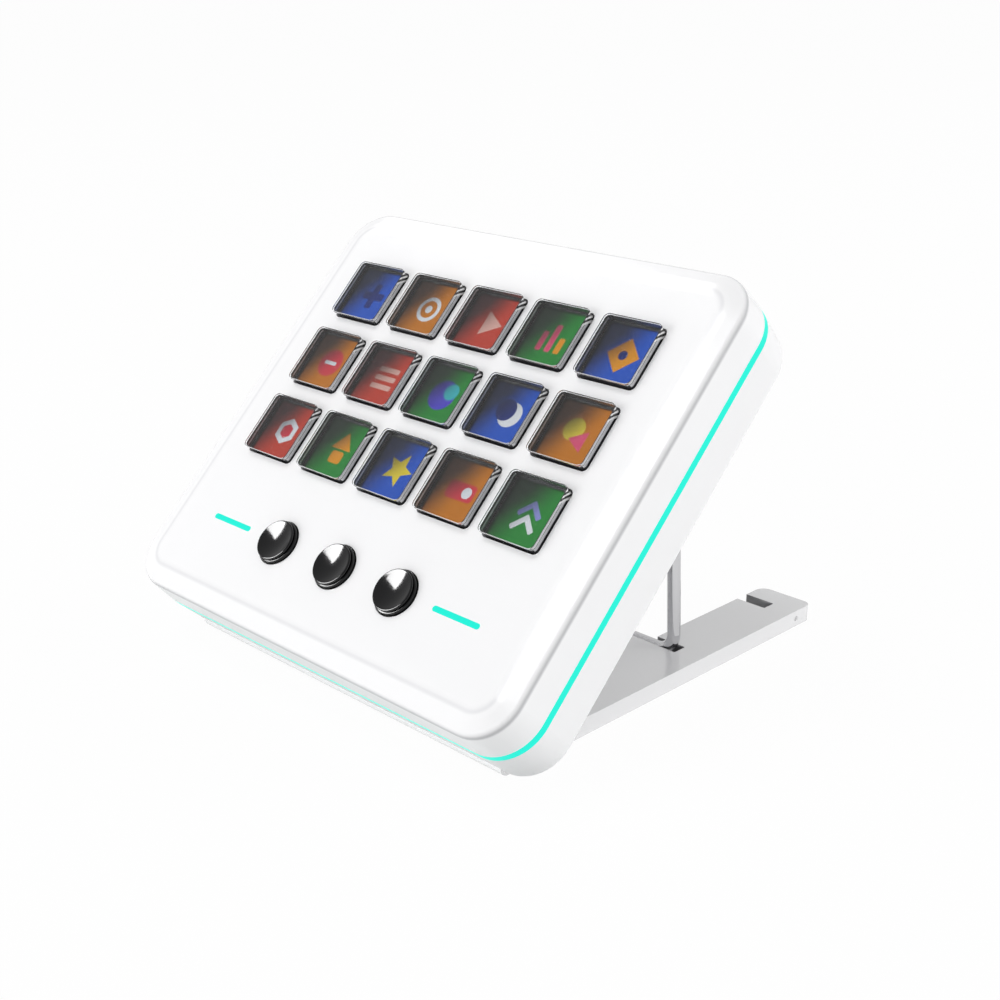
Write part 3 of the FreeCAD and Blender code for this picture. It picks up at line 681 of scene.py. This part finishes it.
def rounded_face(shape: BMesh, centre: Sequence[float], halves: Sequence[float], corner: float,
                 level: float, segments: int = 6) -> BMFace:
    """Add a flat rectangle with round corners.

    Args:
        shape: The mesh it goes into.
        centre: Its middle.
        halves: Half its width and half its depth.
        corner: Radius of its corners.
        level: Its height.
        segments: Steps in each corner.

    Returns:
        The new face.
    """
    verts = bmesh.ops.create_grid(shape, x_segments=1, y_segments=1, size=1.0)["verts"]
    bmesh.ops.scale(shape, verts=verts, vec=(halves[0], halves[1], 1.0))
    bmesh.ops.translate(shape, verts=verts, vec=(centre[0], centre[1], level))
    done = bmesh.ops.bevel(shape, geom=verts, offset=corner, offset_type="OFFSET", segments=segments,
                           profile=0.5, affect="VERTICES", material=-1)
    return done["verts"][0].link_faces[0]


def lofted(shape: BMesh, faces: Sequence[BMFace], closed: bool = False) -> list[list[BMEdge]]:
    """Join outlines one to the next into a skin.

    Args:
        shape: The mesh they are in.
        faces: Outlines in order, with equal numbers of corners.
        closed: Whether the last joins the first again, so that no outline stays filled.

    Returns:
        The edges of each outline.
    """
    loops = [list(face.edges) for face in faces]
    pairs = list(zip(loops, loops[1:]))
    emptied = list(faces[1:-1])
    if closed:
        pairs.append((loops[-1], loops[0]))
        emptied = list(faces)
    if emptied:
        bmesh.ops.delete(shape, geom=emptied, context="FACES_ONLY")
    for first, second in pairs:
        bmesh.ops.bridge_loops(shape, edges=[*first, *second])
    bmesh.ops.recalc_face_normals(shape, faces=shape.faces)
    return loops


def eased(shape: BMesh, edges: Iterable[BMEdge], offset: float, segments: int = 3) -> None:
    """Round off some edges.

    Args:
        shape: The mesh they are in.
        edges: The edges.
        offset: Width of the rounding.
        segments: Steps across it.
    """
    bmesh.ops.bevel(shape, geom=list(edges), offset=offset, offset_type="OFFSET", segments=segments,
                    profile=0.5, affect="EDGES", material=-1, clamp_overlap=True)


@dataclass
class Piece:
    """One visual piece: its mesh, the body that it rides on and what it stands for."""

    name: str
    body: str
    looks: Sequence[Look | Ink]
    slot: str
    space: Space = Space.FACE
    stands_for: str = ""
    crease: float = 35.0
    flats: bool = False

    def publish(self, shape: BMesh) -> Object:
        """Turn the mesh into a finished object.

        Args:
            shape: The piece's mesh in its own frame. It is freed.

        Returns:
            The object, at the origin, with its place in its mesh.
        """
        bmesh.ops.transform(shape, matrix=self.space.value, verts=shape.verts)
        mesh = bpy.data.meshes.new(self.name)
        shape.to_mesh(mesh)
        shape.free()
        for look in self.looks:
            mesh.materials.append(PALETTE.of(look))
        mesh.shade_smooth()
        mesh.set_sharp_from_angle(angle=math.radians(self.crease))
        thing = bpy.data.objects.new(self.name, mesh)
        bpy.context.scene.collection.objects.link(thing)
        if self.flats:
            weighted = thing.modifiers.new("flats", "WEIGHTED_NORMAL")
            weighted.mode = "FACE_AREA"
            weighted.weight = 100
            weighted.keep_sharp = True
        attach(thing, self.body)
        if self.stands_for:
            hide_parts(self.stands_for)
        LOG.info("%s: %d faces on %s", self.name, len(mesh.polygons), self.body)
        return thing


def dress_node(node: str, look: Look) -> None:
    """Give a frame node its finish.

    Args:
        node: The node's name.
        look: Its finish.
    """
    materials = frame["nodes"][node].data.materials
    if not materials:
        materials.append(None)
    for index in range(len(materials)):
        materials[index] = PALETTE.of(look)
    LOG.info("%s: finish %s", node, look.name)


class Figure(Enum):
    """Plain shapes that the pictures are made of, by how many corners they have, or zero for a bar."""

    DISC = 48
    TRIANGLE = 3
    DIAMOND = 4
    HEXAGON = 6
    STAR = 10
    BAR = 0


@dataclass(frozen=True)
class Mark:
    """One shape of a picture, in millimetres from the key's middle."""

    figure: Figure
    ink: Ink
    size: float
    at: tuple[float, float] = (0.0, 0.0)
    turn: float = 0.0
    flat: float = 1.0
    rounding: float = 0.45
    waist: float = 0.45

    def draw(self, shape: BMesh) -> list[BMFace]:
        """Add the shape around the origin at height zero.

        Args:
            shape: The mesh it goes into.

        Returns:
            The faces that it covers.
        """
        if self.figure is Figure.BAR:
            halves = (self.size, self.size * self.flat)
            faces = [rounded_face(shape, (0, 0), halves, halves[1] * self.rounding, 0.0, 3)]
            verts = list(faces[0].verts)
        else:
            verts = bmesh.ops.create_circle(shape, cap_ends=True, radius=self.size,
                                            segments=self.figure.value)["verts"]
            faces = list({face for vert in verts for face in vert.link_faces})
            if self.figure is Figure.STAR:
                bmesh.ops.scale(shape, verts=verts[::2], vec=(self.waist, self.waist, 1.0))
            bmesh.ops.scale(shape, verts=verts, vec=(1.0, self.flat, 1.0))
        turned = Matrix.Rotation(math.radians(self.turn), 3, "Z")
        bmesh.ops.rotate(shape, verts=verts, cent=(0, 0, 0), matrix=turned)
        return faces


@dataclass(frozen=True)
class Picture:
    """What one key shows: a ground colour and the marks on it."""

    ground: Ink
    marks: tuple[Mark, ...]


PICTURES: dict[str, Picture] = {
    "r1c1": Picture(Ink.BLUE, (
        Mark(Figure.BAR, Ink.NAVY, 3.4, flat=0.3),
        Mark(Figure.BAR, Ink.NAVY, 3.4, turn=90, flat=0.3))),
    "r1c2": Picture(Ink.ORANGE, (
        Mark(Figure.DISC, Ink.WHITE, 3.3),
        Mark(Figure.DISC, Ink.ORANGE, 2.3),
        Mark(Figure.DISC, Ink.WHITE, 1.0))),
    "r1c3": Picture(Ink.RED, (Mark(Figure.TRIANGLE, Ink.BLUSH, 3.6, at=(0.4, 0), turn=-90),)),
    "r1c4": Picture(Ink.GREEN, (
        Mark(Figure.BAR, Ink.PINK, 2.4, at=(-2.6, -0.9), turn=90, flat=0.32),
        Mark(Figure.BAR, Ink.PINK, 3.4, at=(0, 0.1), turn=90, flat=0.23),
        Mark(Figure.BAR, Ink.AMBER, 1.9, at=(2.6, -1.4), turn=90, flat=0.41))),
    "r1c5": Picture(Ink.BLUE, (
        Mark(Figure.DIAMOND, Ink.AMBER, 4.2),
        Mark(Figure.DISC, Ink.NAVY, 1.1))),
    "r2c1": Picture(Ink.ORANGE, (
        Mark(Figure.DISC, Ink.CRIMSON, 3.6),
        Mark(Figure.BAR, Ink.WHITE, 1.9, flat=0.25))),
    "r2c2": Picture(Ink.RED, tuple(
        Mark(Figure.BAR, Ink.BLUSH, 3.2, at=(0, 2.2 * row), flat=0.2) for row in (-1, 0, 1))),
    "r2c3": Picture(Ink.GREEN, (
        Mark(Figure.DISC, Ink.VIOLET, 3.7, at=(-0.5, 0)),
        Mark(Figure.DISC, Ink.CYAN, 2.0, at=(1.5, 1.2)))),
    "r2c4": Picture(Ink.BLUE, (
        Mark(Figure.DISC, Ink.WHITE, 3.0, at=(0.7, 0)),
        Mark(Figure.DISC, Ink.NAVY, 2.6, at=(-0.9, 0.8)))),
    "r2c5": Picture(Ink.ORANGE, (
        Mark(Figure.DISC, Ink.YELLOW, 2.6, at=(-1.2, 0.9)),
        Mark(Figure.TRIANGLE, Ink.PINK, 2.8, at=(1.4, -1.3), turn=90))),
    "r3c1": Picture(Ink.RED, (
        Mark(Figure.HEXAGON, Ink.WHITE, 3.4),
        Mark(Figure.HEXAGON, Ink.CRIMSON, 1.9))),
    "r3c2": Picture(Ink.GREEN, (
        Mark(Figure.TRIANGLE, Ink.AMBER, 3.6, at=(0, 1.5), flat=0.8),
        Mark(Figure.BAR, Ink.AMBER, 1.9, at=(0, -2.0), flat=0.8))),
    "r3c3": Picture(Ink.BLUE, (Mark(Figure.STAR, Ink.YELLOW, 4.2, turn=18),)),
    "r3c4": Picture(Ink.ORANGE, (
        Mark(Figure.BAR, Ink.CRIMSON, 3.9, flat=0.52),
        Mark(Figure.DISC, Ink.WHITE, 1.3, at=(1.7, 0)))),
    "r3c5": Picture(Ink.GREEN, tuple(
        Mark(Figure.BAR, ink, 2.3, at=(1.2 * side, along), turn=-45 * side, flat=0.27)
        for ink, along in ((Ink.LAVENDER, 1.3), (Ink.WHITE, -1.9)) for side in (-1, 1))),
}


class Facing(Enum):
    """Which way a cap's wall looks, with the finishes of its edge, its plate's side and the bands below:
    painted highlight, painted reflection and dark coat.
    """

    RIGHT = (Look.SKIRT, Look.SMOKE, Look.PAINTED_GLINT, Look.SKIRT, Look.SMOKE, Look.SKIRT, Look.SKIRT)
    LEFT = (Look.RIM, Look.CLEAR, Look.SKIRT, Look.SKIRT, Look.SKIRT, Look.SMOKE, Look.SKIRT)
    END = (Look.RIM, Look.CLEAR, Look.SKIRT, Look.RIM, Look.SKIRT, Look.SKIRT, Look.SKIRT)

    @classmethod
    def of(cls, normal: Vector) -> "Facing":
        """Tell a wall's side from its normal.

        Args:
            normal: The wall's outward direction.

        Returns:
            The side that it looks to most, where an end is the lower or the upper wall.
        """
        if abs(normal.x) > abs(normal.y):
            return cls.RIGHT if normal.x > 0 else cls.LEFT
        return cls.END


@dataclass
class Keys:
    """Fifteen clear caps with the pictures that show through them.

    The bands are levels on the cap's walls, where painted highlight, painted reflection and dark coat
    change.
    The glints are where the right wall is cut by slanted lines into facets of painted highlight and painted
    dark reflection, measured down from its upper end.
    """

    pitch: float = 19.2
    half_width: float = 7.6
    half_depth: float = 7.4
    corner: float = 1.3
    plate: float = 0.7
    inset: float = 0.25
    bands: tuple[float, ...] = (-0.98, -1.12, -1.85, -2.7)
    glints: tuple[float, ...] = (4.6, 3.9, 3.1, 2.5, 1.7, 1.1)
    glint_slant: float = 1.1
    glint_reach: float = 0.2
    block_to: float = -4.4
    picture_at: float = -5.2
    picture_thick: float = 0.3
    foot_bottom: float = -6.0
    flange: float = 0.75
    liner: float = 0.45
    ease: float = 0.14
    slope: float = 0.03
    mark_step: float = 0.03
    mark_thick: float = 0.025
    near: float = 0.001
    level_normal: float = 0.9
    wall_normal: float = 0.7
    looks: tuple[Look, ...] = (Look.CLEAR, Look.FROSTED, Look.SKIRT, Look.RIM, Look.SMOKE, Look.PAINTED_GLINT)

    def build(self) -> None:
        """Make every key."""
        for row in range(3):
            for column in range(5):
                name = f"r{row + 1}c{column + 1}"
                centre = ((column - 2) * self.pitch, (1 - row) * self.pitch)
                self.clear_block(name, centre)
                self.lit_picture(name, centre)

    def outline(self, shape: BMesh, centre: tuple[float, float], margin: float, level: float) -> BMFace:
        """Add the cap's outline, grown by a margin, at a level."""
        halves = (self.half_width + margin, self.half_depth + margin)
        return rounded_face(shape, centre, halves, self.corner + min(margin, 0.0), level)

    def clear_block(self, name: str, centre: tuple[float, float]) -> None:
        """Make the clear part: a plate with eased edges over an inset block.

        Args:
            name: The key's name.
            centre: Its middle on the face.
        """
        shape = bmesh.new()
        levels = (-self.plate - self.slope, *self.bands, self.block_to)
        steps = ((0.0, 0.0), (0.0, -self.plate), *((-self.inset, level) for level in levels))
        loops = lofted(shape, [self.outline(shape, centre, margin, level) for margin, level in steps])
        eased(shape, [*loops[0], *loops[1]], self.ease)
        self.cut_facets(shape, centre)
        edges = (-self.ease, -self.plate - self.slope / 2, *self.bands)
        for face in shape.faces:
            look = Look.CLEAR
            height = face.calc_center_median().z
            if height < self.block_to + self.near:
                look = Look.FROSTED
            elif height < -self.near and abs(face.normal.z) < self.level_normal:
                # walls get bands of painted highlight, painted reflection and dark coat
                look = self.wall_look(face, centre[1], sum(height < edge for edge in edges))
            face.material_index = self.looks.index(look)
        Piece(f"cap_{name}", f"key_{name}", self.looks, "clear_cap", stands_for=f"keycap_{name}",
              flats=True).publish(shape)

    def cut_facets(self, shape: BMesh, centre: tuple[float, float]) -> None:
        """Divide the right wall with slanted lines into facets for painted highlight and painted dark
        reflection.

        Args:
            shape: The cap's mesh.
            centre: The key's middle.
        """
        for cut in self.glints:
            walls = [face for face in shape.faces if face.normal.x > self.wall_normal]
            parts = {*walls, *(edge for face in walls for edge in face.edges),
                     *(vert for face in walls for vert in face.verts)}
            bmesh.ops.bisect_plane(shape, geom=list(parts), dist=1e-5, plane_no=(0, 1, self.glint_slant),
                                   plane_co=(centre[0], centre[1] + self.half_depth - cut, 0))

    def wall_look(self, face: BMFace, row: float, band: int) -> Look:
        """Choose a wall's finish: bands of painted highlight, painted reflection and dark coat on the flat
        sides, and facets of painted highlight and painted dark reflection at the upper right.

        Args:
            face: The wall's face.
            row: The key's middle, up the face.
            band: Which band it lies in, from the top edge down.

        Returns:
            Its finish.
        """
        normal, middle = face.normal, face.calc_center_median()
        if normal.x >= self.glint_reach and normal.y >= -self.glint_reach and 0 < band < len(self.bands) + 2:
            along = row + self.half_depth - (middle.y + self.glint_slant * middle.z)
            facet = sum(along < cut for cut in self.glints)
            if facet:
                # facets alternate painted highlight and painted dark reflection
                return Look.PAINTED_GLINT if facet % 2 else Look.SKIRT
        return Facing.of(normal).value[band]

    def lit_picture(self, name: str, centre: tuple[float, float]) -> None:
        """Make the dark foot with the lit picture in it.

        Args:
            name: The key's name.
            centre: Its middle on the face.
        """
        shape = bmesh.new()
        inner = -self.inset - self.liner
        steps = ((-self.inset, self.block_to - self.slope), (-self.inset, self.picture_at),
                 (self.flange, self.picture_at - self.slope), (self.flange, self.foot_bottom + self.slope),
                 (inner, self.foot_bottom), (inner, self.block_to - 2 * self.slope))
        lofted(shape, [self.outline(shape, centre, margin, level) for margin, level in steps], closed=True)
        ground = [self.outline(shape, centre, inner - self.slope, level)
                  for level in (self.picture_at, self.picture_at - self.picture_thick)]
        corners = {vert for face in ground for vert in face.verts}
        lofted(shape, ground)
        for face in shape.faces:
            if corners.issuperset(face.verts):
                face.material_index = 1
        picture = PICTURES[name]
        looks: list[Look | Ink] = [Look.LINER, picture.ground]
        for layer, mark in enumerate(picture.marks, start=1):
            if mark.ink not in looks:
                looks.append(mark.ink)
            level = self.picture_at + self.mark_step * layer
            place = (centre[0] + mark.at[0], centre[1] + mark.at[1], level)
            self.raised(shape, mark, place, looks.index(mark.ink))
        self.chart(shape, centre)
        Piece(f"picture_{name}", f"key_{name}", looks, "screen_glass").publish(shape)

    def raised(self, shape: BMesh, mark: Mark, place: Point, index: int) -> None:
        """Lay one mark on the picture as a thin closed tile.

        Args:
            shape: The picture's mesh.
            mark: The mark.
            place: The middle of the tile's top.
            index: The mark's material slot.
        """
        faces = mark.draw(shape)
        grown = bmesh.ops.extrude_face_region(shape, geom=faces)
        top = [item for item in grown["geom"] if isinstance(item, BMVert)]
        base = list({vert for face in faces if face.is_valid for vert in face.verts})
        bmesh.ops.translate(shape, verts=base, vec=(0, 0, -self.mark_thick))
        tile: set[BMVert] = {*top, *base}
        bmesh.ops.translate(shape, verts=list(tile), vec=place)
        sides = [face for face in shape.faces if tile.issuperset(face.verts)]
        for face in sides:
            face.material_index = index
        bmesh.ops.recalc_face_normals(shape, faces=sides)

    def chart(self, shape: BMesh, centre: tuple[float, float]) -> None:
        """Map the picture from its lower left to its upper right corner.

        Args:
            shape: The picture's mesh.
            centre: The key's middle.
        """
        layer = shape.loops.layers.uv.new("UVMap")
        for face in shape.faces:
            for loop in face.loops:
                across = (loop.vert.co.x - centre[0]) / (2 * self.half_width) + 0.5
                along = (loop.vert.co.y - centre[1]) / (2 * self.half_depth) + 0.5
                loop[layer].uv = (across, along)


@dataclass
class Buttons:
    """Three round dished push buttons, whose levels are measured down from the face's plane."""

    pitch: float = 19.2
    row: float = -44.0
    rim: float = -0.5
    top_radius: float = 4.75
    land: float = 0.3
    dish: float = 0.9
    dish_steps: int = 10
    top_to: float = -1.05
    neck_radius: float = 4.45
    neck_to: float = -1.3
    ring_radius: float = 5.05
    ring_to: float = -4.4
    flange_radius: float = 5.95
    flange_to: float = -5.3
    stem_radius: float = 1.6
    stem_to: float = -9.2
    steps: int = 96
    near: float = 0.001

    def build(self) -> None:
        """Make every button."""
        for index, name in enumerate(("left", "middle", "right")):
            self.button(name, (index - 1) * self.pitch)

    def profile(self) -> list[tuple[float, float]]:
        """Work out the outline that is turned about the button's axis.

        Returns:
            Radius and height of each point, from the dish's middle to the stem's foot.
        """
        hollow = self.top_radius - self.land
        ball = (hollow ** 2 + self.dish ** 2) / (2 * self.dish)
        bottom = self.rim - self.dish + ball
        dished = [hollow * step / self.dish_steps for step in range(self.dish_steps + 1)]
        return [
            *((radius, bottom - math.sqrt(ball ** 2 - radius ** 2)) for radius in dished),
            (self.top_radius, self.rim), (self.top_radius, self.top_to),
            (self.neck_radius, self.top_to), (self.neck_radius, self.neck_to),
            (self.ring_radius, self.neck_to), (self.ring_radius, self.ring_to),
            (self.flange_radius, self.ring_to), (self.flange_radius, self.flange_to),
            (self.stem_radius, self.flange_to), (self.stem_radius, self.stem_to), (0.0, self.stem_to),
        ]

    def button(self, name: str, column: float) -> None:
        """Turn one button from its profile and ease its rims.

        Args:
            name: The button's name.
            column: Its place across the face.
        """
        shape = bmesh.new()
        verts = [shape.verts.new((radius, 0.0, height)) for radius, height in self.profile()]
        edges = [shape.edges.new(pair) for pair in zip(verts, verts[1:])]
        bmesh.ops.spin(shape, geom=[*verts, *edges], cent=(0, 0, 0), axis=(0, 0, 1), dvec=(0, 0, 0),
                       angle=2 * math.pi, steps=self.steps, use_merge=True, use_duplicate=False)
        bmesh.ops.remove_doubles(shape, verts=shape.verts, dist=1e-4)
        bmesh.ops.recalc_face_normals(shape, faces=shape.faces)
        rims = ((self.top_radius, self.rim, 0.2), (self.top_radius - self.land, self.rim, 0.08),
                (self.top_radius, self.top_to, 0.1), (self.ring_radius, self.neck_to, 0.2))
        for radius, height, offset in rims:
            eased(shape, self.rim_edges(shape, radius, height), offset)
        bmesh.ops.translate(shape, verts=shape.verts, vec=(column, self.row, 0))
        Piece(f"button_cap_{name}", f"push_{name}", (Look.BUTTON,), "button_black",
              stands_for=f"button_{name}", crease=50).publish(shape)

    def rim_edges(self, shape: BMesh, radius: float, height: float) -> list[BMEdge]:
        """Find the edges of one circle about the button's axis.

        Args:
            shape: The button's mesh.
            radius: The circle's radius.
            height: Its height.

        Returns:
            The edges.
        """
        on_circle = {vert for vert in shape.verts if abs(vert.co.z - height) < self.near
                     and abs(vert.co.xy.length - radius) < self.near}
        return [edge for edge in shape.edges if on_circle.issuperset(edge.verts)]


@dataclass
class Stand:
    """The forked base plate with eased edges, its pads, pins and the chrome wire."""

    ease_mm: float = 0.3
    tip_mm: float = 2.6
    tip_segments: int = 6
    shortest_mm: float = 0.9
    flat_degrees: float = 0.5
    sharp_degrees: float = 40.0
    upright: float = 0.95
    level: float = 0.3
    notch_starts_mm: tuple[float, float] = (59.15, 93.05)
    notch_width_mm: float = 3.7
    notch_inner_mm: float = 43.1
    notch_slack_mm: float = 0.1
    hinge_mm: float = -44.5746

    def build(self) -> None:
        """Make the plate and finish the rest."""
        self.plate()
        dress_node("stand_pads", Look.RUBBER)
        dress_node("hinge_pins", Look.STEEL)
        dress_node("prop_wire", Look.CHROME)

    def plate(self) -> None:
        """Copy the plate's node, merge it, round its tips and ease its long edges."""
        shape = bmesh.new()
        shape.from_mesh(frame["nodes"]["stand_plate"].data)
        bmesh.ops.remove_doubles(shape, verts=shape.verts, dist=1e-6)
        bmesh.ops.dissolve_limit(shape, angle_limit=math.radians(self.flat_degrees), verts=shape.verts,
                                 edges=shape.edges)
        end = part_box("stand_plate")[1][1]
        tips = [edge for edge in shape.edges if self.is_sharp(edge) and self.is_tip(edge, end)]
        eased(shape, tips, self.tip_mm * MM, self.tip_segments)
        sharp = [edge for edge in shape.edges
                 if self.is_sharp(edge) and edge.calc_length() > self.shortest_mm * MM]
        eased(shape, sharp, self.ease_mm * MM)
        bmesh.ops.dissolve_degenerate(shape, dist=2e-6, edges=shape.edges)
        # the notch walls get the painted shade finish
        for face in shape.faces:
            face.material_index = int(self.in_notch(face))
        Piece("base_plate", "stand", (Look.STAND, Look.SHADED_NOTCH), "stand_grey", space=Space.WORLD,
              stands_for="stand_plate", flats=True).publish(shape)

    def is_sharp(self, edge: BMEdge) -> bool:
        """Whether an edge joins two faces at a sharp angle."""
        return edge.is_manifold and edge.calc_face_angle() > math.radians(self.sharp_degrees)

    def is_tip(self, edge: BMEdge, end: float) -> bool:
        """Whether an edge is an upright corner at the fork's free end."""
        first, second = edge.verts[0].co, edge.verts[1].co
        return abs((first - second).normalized().z) > self.upright and min(first.y, second.y) > end - MM

    def in_notch(self, face: BMFace) -> bool:
        """Tell whether a face is an upright wall of a notch.

        Args:
            face: A face of the plate.

        Returns:
            True for a wall that lies beside either notch, on its arm's side.
        """
        middle = face.calc_center_median() / MM
        slack = self.notch_slack_mm
        beside = any(-slack < middle.y - self.hinge_mm - start < self.notch_width_mm + slack
                     for start in self.notch_starts_mm)
        return beside and abs(face.normal.z) < self.level and abs(middle.x) < self.notch_inner_mm + slack


class Housing:
    """The two white shells, the cyan guides and everything sealed inside."""

    finishes: dict[Look, tuple[str, ...]] = {
        Look.SHELL: ("front_shell",),
        Look.BACK: ("rear_shell",),
        Look.GUIDE_LIGHT: ("light_ring", "light_bar_left", "light_bar_right"),
        Look.BLACK: ("key_guide", "screen_carrier", "button_switches"),
        Look.SILICONE: ("key_mat",),
        Look.BOARD: ("key_film", "main_board", "button_board"),
        Look.GLASS_FRONT: ("screen_panel",),
        Look.TRAY: ("screen_backlight",),
        Look.CHIP: ("main_chips",),
        Look.LAMP: ("ring_leds", "bar_leds"),
        Look.RIBBON: ("screen_ribbon",),
        Look.STEEL: ("lead_socket", "shell_screws"),
    }

    def build(self) -> None:
        """Finish every node of the keypad."""
        for look, nodes in self.finishes.items():
            for node in nodes:
                dress_node(node, look)


@dataclass(frozen=True)
class Softbox:
    """One rectangular lamp aimed at the keypad from a direction, in metres."""

    name: str
    heading: Point
    distance: float
    width: float
    height: float
    glow: float
    gloss: bool = False
    only: tuple[str, ...] = ()

    def build(self, target: Vector) -> None:
        """Hang the lamp.

        Args:
            target: The point that it faces.
        """
        data = bpy.data.lights.new(self.name, "AREA")
        data.shape = "RECTANGLE"
        data.size = self.width
        data.size_y = self.height
        data.energy = self.glow * math.pi * self.width * self.height
        lamp = bpy.data.objects.new(self.name, data)
        towards = Vector(self.heading).normalized()
        lamp.location = target + towards * self.distance
        lamp.rotation_euler = (-towards).to_track_quat("-Z", "Y").to_euler()
        lamp.visible_camera = False
        lamp.visible_diffuse = not self.gloss
        lamp.visible_glossy = self.gloss
        bpy.context.scene.collection.objects.link(lamp)
        if self.only:
            lit = bpy.data.collections.new(f"lit_by_{self.name}")
            for name in self.only:
                lit.objects.link(bpy.data.objects[name])
            lamp.light_linking.receiver_collection = lit


FACE_ONLY = ("front_shell",)
PLATE_ONLY = ("base_plate",)
BUTTONS_ONLY = tuple(f"button_cap_{side}" for side in ("left", "middle", "right"))
SOFTBOXES = (
    Softbox("lamp_key", (-0.25, -0.3, 0.9), 1.6, 0.8, 0.6, 5.6),
    Softbox("lamp_front", (-0.4, -0.85, 0.24), 0.85, 0.8, 0.6, 2.25),
    Softbox("lamp_side", (0.79, 0.56, 0.25), 1.6, 0.9, 0.7, 6.8),
    Softbox("lamp_top_edge", (-0.66, 0.06, 0.75), 1.2, 0.4, 0.4, 7.5, gloss=True, only=FACE_ONLY),
    Softbox("lamp_right_edge", (-0.2, -0.51, 0.84), 1.2, 0.45, 0.45, 9.0, gloss=True, only=FACE_ONLY),
    Softbox("lamp_window", (-0.49, -0.805, 0.33), 0.6, 0.36, 0.36, 40.0, gloss=True, only=BUTTONS_ONLY),
    Softbox("lamp_back", (0.3, 0.75, 0.6), 1.6, 0.9, 0.7, 1.0),
    Softbox("lamp_stand", (0.15, 0.25, 0.96), 1.6, 0.9, 0.7, 0.7, only=PLATE_ONLY),
    Softbox("lamp_low", (0.5, -0.86, 0.08), 1.2, 0.9, 0.2, 22.0, only=PLATE_ONLY),
)


@dataclass
class Studio:
    """Pale floor, soft light and the camera of the photograph, in metres."""

    floor_half: float = 8.0
    floor_colour: tuple[float, float, float, float] = (0.8, 0.8, 0.8, 1.0)
    ambient: float = 0.5
    backdrop: float = 0.97
    gloss_share: float = 0.5
    target: Point = (0.0, 0.0, 0.045)
    lens: float = 54.135
    sensor: float = 36.0
    clip: tuple[float, float] = (0.01, 50.0)
    eye: Point = (0.22881919, -0.22735336, 0.1506202)
    right: Point = (0.708725, 0.705483, 0.001478)
    down: Point = (0.242594, -0.24174, -0.939527)
    ahead: Point = (-0.662463, 0.666224, -0.342473)

    def build(self) -> None:
        """Set up everything that isn't the object."""
        self.camera()
        self.world()
        self.floor()
        for lamp in SOFTBOXES:
            lamp.build(Vector(self.target))
        bpy.context.scene.view_settings.view_transform = "Standard"

    def camera(self) -> None:
        """Stand the camera where the photograph was taken."""
        data = bpy.data.cameras.new("camera")
        data.lens = self.lens
        data.sensor_width = self.sensor
        data.clip_start, data.clip_end = self.clip
        camera = bpy.data.objects.new("camera", data)
        columns = (Vector(self.right), -Vector(self.down), -Vector(self.ahead), Vector(self.eye))
        camera.matrix_world = Matrix((*zip(*columns), (0.0, 0.0, 0.0, 1.0)))
        bpy.context.scene.collection.objects.link(camera)
        bpy.context.scene.camera = camera

    def world(self) -> None:
        """Light the room: a white backdrop to the camera, and softer light on the object."""
        world = bpy.data.worlds.new("studio")
        bpy.context.scene.world = world
        world.use_nodes = True
        wiring = Wiring(world.node_tree)
        room = wiring.add("ShaderNodeBackground", {"Strength": self.ambient})
        white = wiring.add("ShaderNodeBackground", {"Color": (1.0, 1.0, 1.0, 1.0), "Strength": 1.0})
        feeds = {0: self.backdrop_seen(wiring), 1: room.outputs[0], 2: white.outputs[0]}
        mix = wiring.add("ShaderNodeMixShader", feeds)
        wiring.add("ShaderNodeOutputWorld", {"Surface": mix.outputs[0]})

    def backdrop_seen(self, wiring: Wiring) -> NodeSocket:
        """Tell how much of the backdrop shows to a ray.

        Args:
            wiring: The tree of the world or of the floor's material.

        Returns:
            One where the camera or a clear piece looks at it, less where a gloss does, else zero.
        """
        path = wiring.add("ShaderNodeLightPath").outputs
        seen = wiring.math("MAXIMUM", path["Is Camera Ray"], path["Is Transmission Ray"])
        return wiring.math("MAXIMUM", seen, wiring.math("MULTIPLY", path["Is Glossy Ray"], self.gloss_share))

    def floor(self) -> None:
        """Lay the pale floor, which shows near white and keeps the object's shadow."""
        shape = bmesh.new()
        bmesh.ops.create_grid(shape, x_segments=1, y_segments=1, size=self.floor_half)
        mesh = bpy.data.meshes.new("floor")
        shape.to_mesh(mesh)
        shape.free()
        material = bpy.data.materials.new("floor")
        material.use_nodes = True
        wiring = Wiring(material.node_tree)
        matte = wiring.add("ShaderNodeBsdfDiffuse", {"Color": self.floor_colour})
        glow = wiring.add("ShaderNodeEmission")
        share = wiring.math("MULTIPLY", self.backdrop_seen(wiring), self.backdrop)
        mix = wiring.add("ShaderNodeMixShader", {0: share, 1: matte.outputs[0], 2: glow.outputs[0]})
        wiring.add("ShaderNodeOutputMaterial", {"Surface": mix.outputs[0]})
        mesh.materials.append(material)
        floor = bpy.data.objects.new("floor", mesh)
        bpy.context.scene.collection.objects.link(floor)


def main() -> None:
    """Build the object and its studio."""
    logging.basicConfig(level=logging.INFO, format="%(name)s %(message)s")
    builders: tuple[Callable[[], None], ...] = (
        Housing().build, Keys().build, Buttons().build, Stand().build, Studio().build)
    for build in builders:
        build()


if __name__ == "__main__":
    main()
